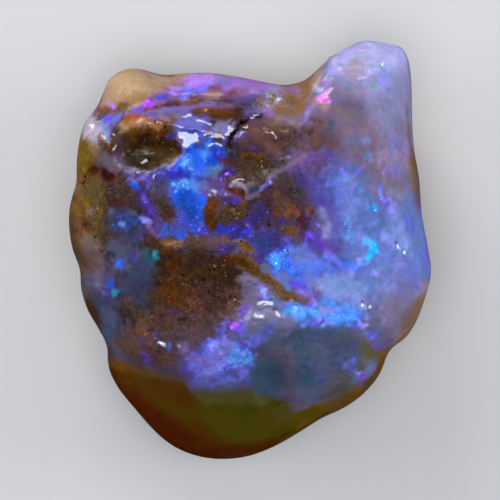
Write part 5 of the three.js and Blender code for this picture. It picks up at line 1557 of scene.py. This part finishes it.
def with_veils(tree, colour, stone):
    """Veils of violet and of sea blue, from 1 mm down to 0.1 mm, in all that is neither clay nor amber."""
    least, more = VEIL_STRENGTH
    veil = add(tree, "TexNoise", {**DEEP, "Scale": VEILS_PER_MM, 0: stone["shaken"]})[0]
    veil = add(tree, "MapRange", {**VEIL_EDGE, 0: veil})[0]
    hue = add(tree, "Mix", {**BLEND, 0: veil, 6: TO_SEA, 7: TO_ORCHID})[2]
    clear = add(tree, "Math", {**MINUS, 0: 1.0, 1: stone["clay"]})[0]
    clear = add(tree, "Math", {**TIMES, 0: clear, 1: stone["not_amber"]})[0]
    strength = add(tree, "Math", {**LINE, 0: stone["fire"], 1: more, 2: least})[0]
    strength = add(tree, "Math", {**TIMES, 0: clear, 1: strength})[0]
    tinted = add(tree, "Mix", {**FILTER, 6: colour, 7: hue})[2]
    return add(tree, "Mix", {**BLEND, 0: strength, 6: colour, 7: tinted})[2]


def with_fire(tree, colour, stone):
    """Grains of fire in flocks, 0.4 mm to 0.1 mm across: what lies around them, a few times brighter."""
    least, more = FIRE_EAGERNESS
    eager = add(tree, "Math", {**LINE, 0: stone["fire"], 1: more, 2: least})[0]
    eager = add(tree, "Math", {**TIMES, 0: eager, 1: stone["flock"]})[0]
    least, more = FIRE_SIZE
    for per_mm, rarity, brightness in FIRE_GRAINS:
        grain = add(tree, "TexVoronoi", {"Scale": per_mm, 0: stone["shaken"]})
        luck, draw, hue = add(tree, "SeparateColor", {0: grain["Color"]})
        size = add(tree, "Math", {**LINE, 0: draw, 1: more, 2: least})[0]
        away = add(tree, "Math", {"operation": "DIVIDE", 0: grain["Distance"], 1: size})[0]
        near = add(tree, "Math", {**MINUS, "use_clamp": True, 0: 1.0, 1: away})[0]
        near = add(tree, "Math", {**TIMES, "use_clamp": True, 0: near, 1: 2.0})[0]
        luck = add(tree, "Math", {**TIMES, 0: luck, 1: eager})[0]
        chosen = add(tree, "Math", {**ABOVE, 0: luck, 1: rarity})[0]
        near = add(tree, "Math", {**TIMES, 0: near, 1: chosen})[0]
        glow = add(tree, "Math", {**LINE, 0: draw, 1: brightness, 2: FIRE_GLOW})[0]
        glow = add(tree, "Math", {**TIMES, 0: near, 1: glow})[0]
        gain = add(tree, "Math", {**PLUS, 0: glow, 1: 1.0})[0]
        lit = add(tree, "Mix", {**FILTER, 6: colour, 7: gain})[2]
        tint = add(tree, "Mix", {**BLEND, 0: hue, 6: solid(FIRE_BLUE), 7: solid(FIRE_VIOLET)})[2]
        share = add(tree, "Math", {**TIMES, "use_clamp": True, 0: glow, 1: FIRE_TINT})[0]
        colour = add(tree, "Mix", {**BLEND, 0: share, 6: lit, 7: tint})[2]
    return colour


def with_specks(tree, colour, stone):
    """Dark specks of iron in the clay, about 0.15 and 0.1 mm across. Gives where they are, too."""
    specks = 0.0
    for per_mm, rarity in IRON_SPECKS:
        speck = add(tree, "TexVoronoi", {"Scale": per_mm, 0: stone["shaken"]})
        luck, draw, _ = add(tree, "SeparateColor", {0: speck["Color"]})
        luck = add(tree, "Math", {**TIMES, 0: luck, 1: stone["clay_flock"]})[0]
        chosen = add(tree, "Math", {**ABOVE, 0: luck, 1: rarity})[0]
        size = add(tree, "Math", {**TIMES, 0: draw, 1: SPECK_SIZE})[0]
        inside = add(tree, "Math", {**BELOW, 0: speck["Distance"], 1: size})[0]
        inside = add(tree, "Math", {**TIMES, 0: inside, 1: chosen})[0]
        specks = add(tree, "Math", {"operation": "MAXIMUM", 0: inside, 1: specks})[0]
        share = add(tree, "Math", {**TIMES, 0: specks, 1: SPECK_STRENGTH})[0]
        colour = add(tree, "Mix", {**BLEND, 0: share, 6: colour, 7: solid(IRON)})[2]
    return colour, specks


def with_sand(tree, colour, stone):
    """Pale grains of sand in the clay, about 0.1 mm across."""
    grain = add(tree, "TexVoronoi", {"Scale": SAND_PER_MM, 0: stone["shaken"]})
    luck = add(tree, "SeparateColor", {0: grain["Color"]})[0]
    luck = add(tree, "Math", {**TIMES, 0: luck, 1: stone["clay_flock"]})[0]
    chosen = add(tree, "Math", {**ABOVE, 0: luck, 1: SAND_RARITY})[0]
    inside = add(tree, "Math", {**BELOW, 0: grain["Distance"], 1: SAND_SIZE})[0]
    inside = add(tree, "Math", {**TIMES, 0: chosen, 1: inside})[0]
    share = add(tree, "Math", {**TIMES, 0: inside, 1: SAND_STRENGTH})[0]
    return add(tree, "Mix", {**BLEND, 0: share, 6: colour, 7: solid(SAND)})[2]


def stone_fields(tree):
    """What the patterns read: places in mm, the mesh's own attributes, silt and flocks."""
    metres = add(tree, "TexCoord", {})["Object"]
    mm = add(tree, "Mapping", {"Scale": (1 / MM, 1 / MM, 1 / MM), "Vector": metres})[0]
    kinds = add(tree, "Attribute", {"attribute_name": "stone_finish"})["Color"]
    clay, fire, amber = add(tree, "SeparateColor", {0: kinds})
    skin = add(tree, "Attribute", {"attribute_name": "stone_skin"})["Color"]
    gloss, level, _ = add(tree, "SeparateColor", {0: skin})
    wobble = add(tree, "TexNoise", {"Scale": WOBBLE_PER_MM, "Detail": 1.0, 0: mm})["Color"]
    reach = (WOBBLE_REACH, WOBBLE_REACH, WOBBLE_REACH)
    shaken = add(tree, "VectorMath", {**LINE, 0: wobble, 1: reach, 2: mm})[0]
    flock = add(tree, "TexNoise", {**FINE, "Scale": FLOCKS_PER_MM, 0: shaken})[0]
    flock = add(tree, "MapRange", {**FLOCK_EDGE, 0: flock})[0]
    return {
        "mm": mm,
        "shaken": shaken,
        "clay": clay,
        "fire": fire,
        "not_amber": add(tree, "Math", {**MINUS, 0: 1.0, 1: amber})[0],
        "gloss": gloss,
        "level": level,
        "silt": add(tree, "TexNoise", {**DEEP, "Scale": SILT_PER_MM, 0: mm})[0],
        "flock": flock,
        "clay_flock": add(tree, "Math", {**TIMES, 0: clay, 1: flock})[0],
    }


def opal_finish():
    """Precious opal, water-worn and wet: glassy over milky silica, with dull patches of clay.
    The eye gets deep, soft colour under a thin clear gloss, grains of fire and dark specks."""
    material = bpy.data.materials.new("water_worn_opal")
    material.use_nodes = True
    tree = material.node_tree
    tree.nodes.clear()
    stone = stone_fields(tree)
    colour = add(tree, "Attribute", {"attribute_name": "stone_colour"})["Color"]
    for pattern in (with_silt, with_odd_grains, with_veils, with_fire):
        colour = pattern(tree, colour, stone)
    colour, specks = with_specks(tree, colour, stone)
    colour = with_sand(tree, colour, stone)

    # A wet skin that is smooth over the clear stone and pitted over the clay.
    dry = add(tree, "Math", {**MINUS, 0: 1.0, 1: specks})[0]
    wet = add(tree, "Math", {**TIMES, 0: stone["gloss"], 1: dry})[0]
    least, more = COAT_WAVE
    wave = add(tree, "Math", {**LINE, 0: stone["clay"], 1: more, 2: least})[0]
    wave = add(tree, "Math", {**TIMES, 0: stone["silt"], 1: wave})[0]
    bare = add(tree, "Math", {**MINUS, 0: WAVE_UNDER_GLOSS, 1: stone["gloss"]})[0]
    wave = add(tree, "Math", {**TIMES, 0: wave, 1: bare})[0]
    bump = add(tree, "Bump", {"Strength": 0.35, "Distance": 0.1 * MM, "Height": wave})[0]
    least, more = ROUGHNESS
    rough = add(tree, "Math", {**LINE, 0: stone["clay"], 1: more, 2: least})[0]
    least, more = DEPTH
    milk = add(tree, "Math", {**LINE, 0: stone["clay"], 1: more, 2: least})[0]
    settings = {
        "Base Color": colour,
        "Roughness": rough,
        "IOR": 1.45,
        "Specular IOR Level": 0.15,
        "Normal": bump,
        "Subsurface Weight": milk,
        "Subsurface Radius": (1.0, 0.85, 0.7),
        "Subsurface Scale": 0.8 * MM,
        "Coat Weight": wet,
        "Coat Roughness": 0.04,
        "Coat IOR": 1.45,
        "Coat Normal": bump,
    }
    shader = add(tree, "BsdfPrincipled", settings)[0]
    add(tree, "OutputMaterial", {"Surface": shader})
    return material


def board_finish():
    """Matt painted board. The eye gets a plain pale ground with no shine."""
    material = bpy.data.materials.new("pale_matt_board")
    material.use_nodes = True
    shader = material.node_tree.nodes["Principled BSDF"]
    shader.inputs["Base Color"].default_value = solid(BOARD)
    shader.inputs["Roughness"].default_value = 0.9
    return material


def make_stone():
    """The stone, with its relief, facets, colours and finish."""
    mesh = divided_stone()
    places, normals = vertex_places(mesh), vertex_normals(mesh)
    drift, tremor, wander = [plane_field(places, name) for name in ("drift", "tremor", "wander")]
    level = np.clip(FACING_GAIN * normals[:, 2], LEAST_LEVEL, 1)
    flank = ((1 - step(level, *FLANK_SLOPES)) * (1 - step(places[:, 2], *FLANK_LEVELS)))[:, None]
    plan = places[:, :2] + DRIFT * drift + TREMOR * tremor
    plan = on_grid(plan * (1 - FLANK_DRAW * flank) + FLANK_WANDER * flank * wander)
    stray = FRONT_STRAY[0] * wander[:, 0] + FRONT_STRAY[1] * drift[:, 0]
    front = step(places[:, 2] + stray, FRONT_LEVEL, EDGE_LEVEL)
    colour, finish = paint(places, plan, level)
    colour = front[:, None] * colour + (1 - front)[:, None] * back_paint(places)
    store(mesh, "stone_colour", np.clip(colour, 0, 1))
    store(mesh, "stone_finish", finish)

    plan = on_grid(places[:, :2] + RELIEF_TREMOR * tremor)
    gloss = gloss_map(places, plan, finish, level)
    store(mesh, "stone_skin", np.stack([gloss, level, level], axis=1))
    height = fine_relief(places, plan, finish, level) * front
    cut_facets(places, plan, front)
    places += normals * height[:, None]
    places[:, 2] = np.clip(places[:, 2], 0, CREST_LEVEL)
    mesh.vertices.foreach_set("co", (places * MM).astype(np.float32).ravel())
    mesh.update()
    stone = bpy.data.objects.new("opal_stone", mesh)
    bpy.context.scene.collection.objects.link(stone)
    mesh.materials.append(opal_finish())
    return stone


def make_floor():
    bm = bmesh.new()
    bmesh.ops.create_grid(bm, x_segments=1, y_segments=1, size=FLOOR_REACH)
    mesh = bpy.data.meshes.new("floor")
    bm.to_mesh(mesh)
    bm.free()
    floor = bpy.data.objects.new("floor", mesh)
    floor.visible_glossy = False
    bpy.context.scene.collection.objects.link(floor)
    mesh.materials.append(board_finish())
    return floor


def make_light(name, place, aim, size, power, mirrored):
    """A soft box, in mm. One that the gloss doesn't mirror lights as if through crossed polarisers."""
    lamp = bpy.data.lights.new(name, "AREA")
    lamp.shape = "RECTANGLE"
    lamp.size, lamp.size_y = size[0] * MM, size[1] * MM
    lamp.energy = power
    light = bpy.data.objects.new(name, lamp)
    light.location = Vector(place) * MM
    towards = (Vector(aim) - Vector(place)).to_track_quat("-Z", "Y")
    light.rotation_euler = towards.to_euler()
    light.visible_glossy = mirrored
    bpy.context.scene.collection.objects.link(light)


def make_air():
    """A faint even light from all round, which the gloss doesn't mirror."""
    world = bpy.data.worlds.new("studio")
    world.use_nodes = True
    sky = world.node_tree.nodes["Background"]
    sky.inputs["Color"].default_value = AIR_COLOUR
    sky.inputs["Strength"].default_value = AIR_STRENGTH
    world.cycles_visibility.glossy = False
    bpy.context.scene.world = world


def make_camera():
    """Looks straight down on the face, so that the picture grid's steps hold at the stone's girdle."""
    lens = bpy.data.cameras.new("camera")
    lens.sensor_width = SENSOR
    lens.lens = SENSOR * CAMERA_AWAY * STEPS / FRAME_STEPS
    lens.clip_end = 10
    camera = bpy.data.objects.new("camera", lens)
    camera.location = (0, 0, (GIRDLE_LEVEL + CAMERA_AWAY) * MM)
    bpy.context.scene.collection.objects.link(camera)
    bpy.context.scene.camera = camera


stone = make_stone()
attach(stone, "root")
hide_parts("opal")
floor = make_floor()
for name, settings in LIGHTS.items():
    make_light(name, *settings)
make_air()
make_camera()
bpy.context.scene.view_settings.view_transform = "Standard"
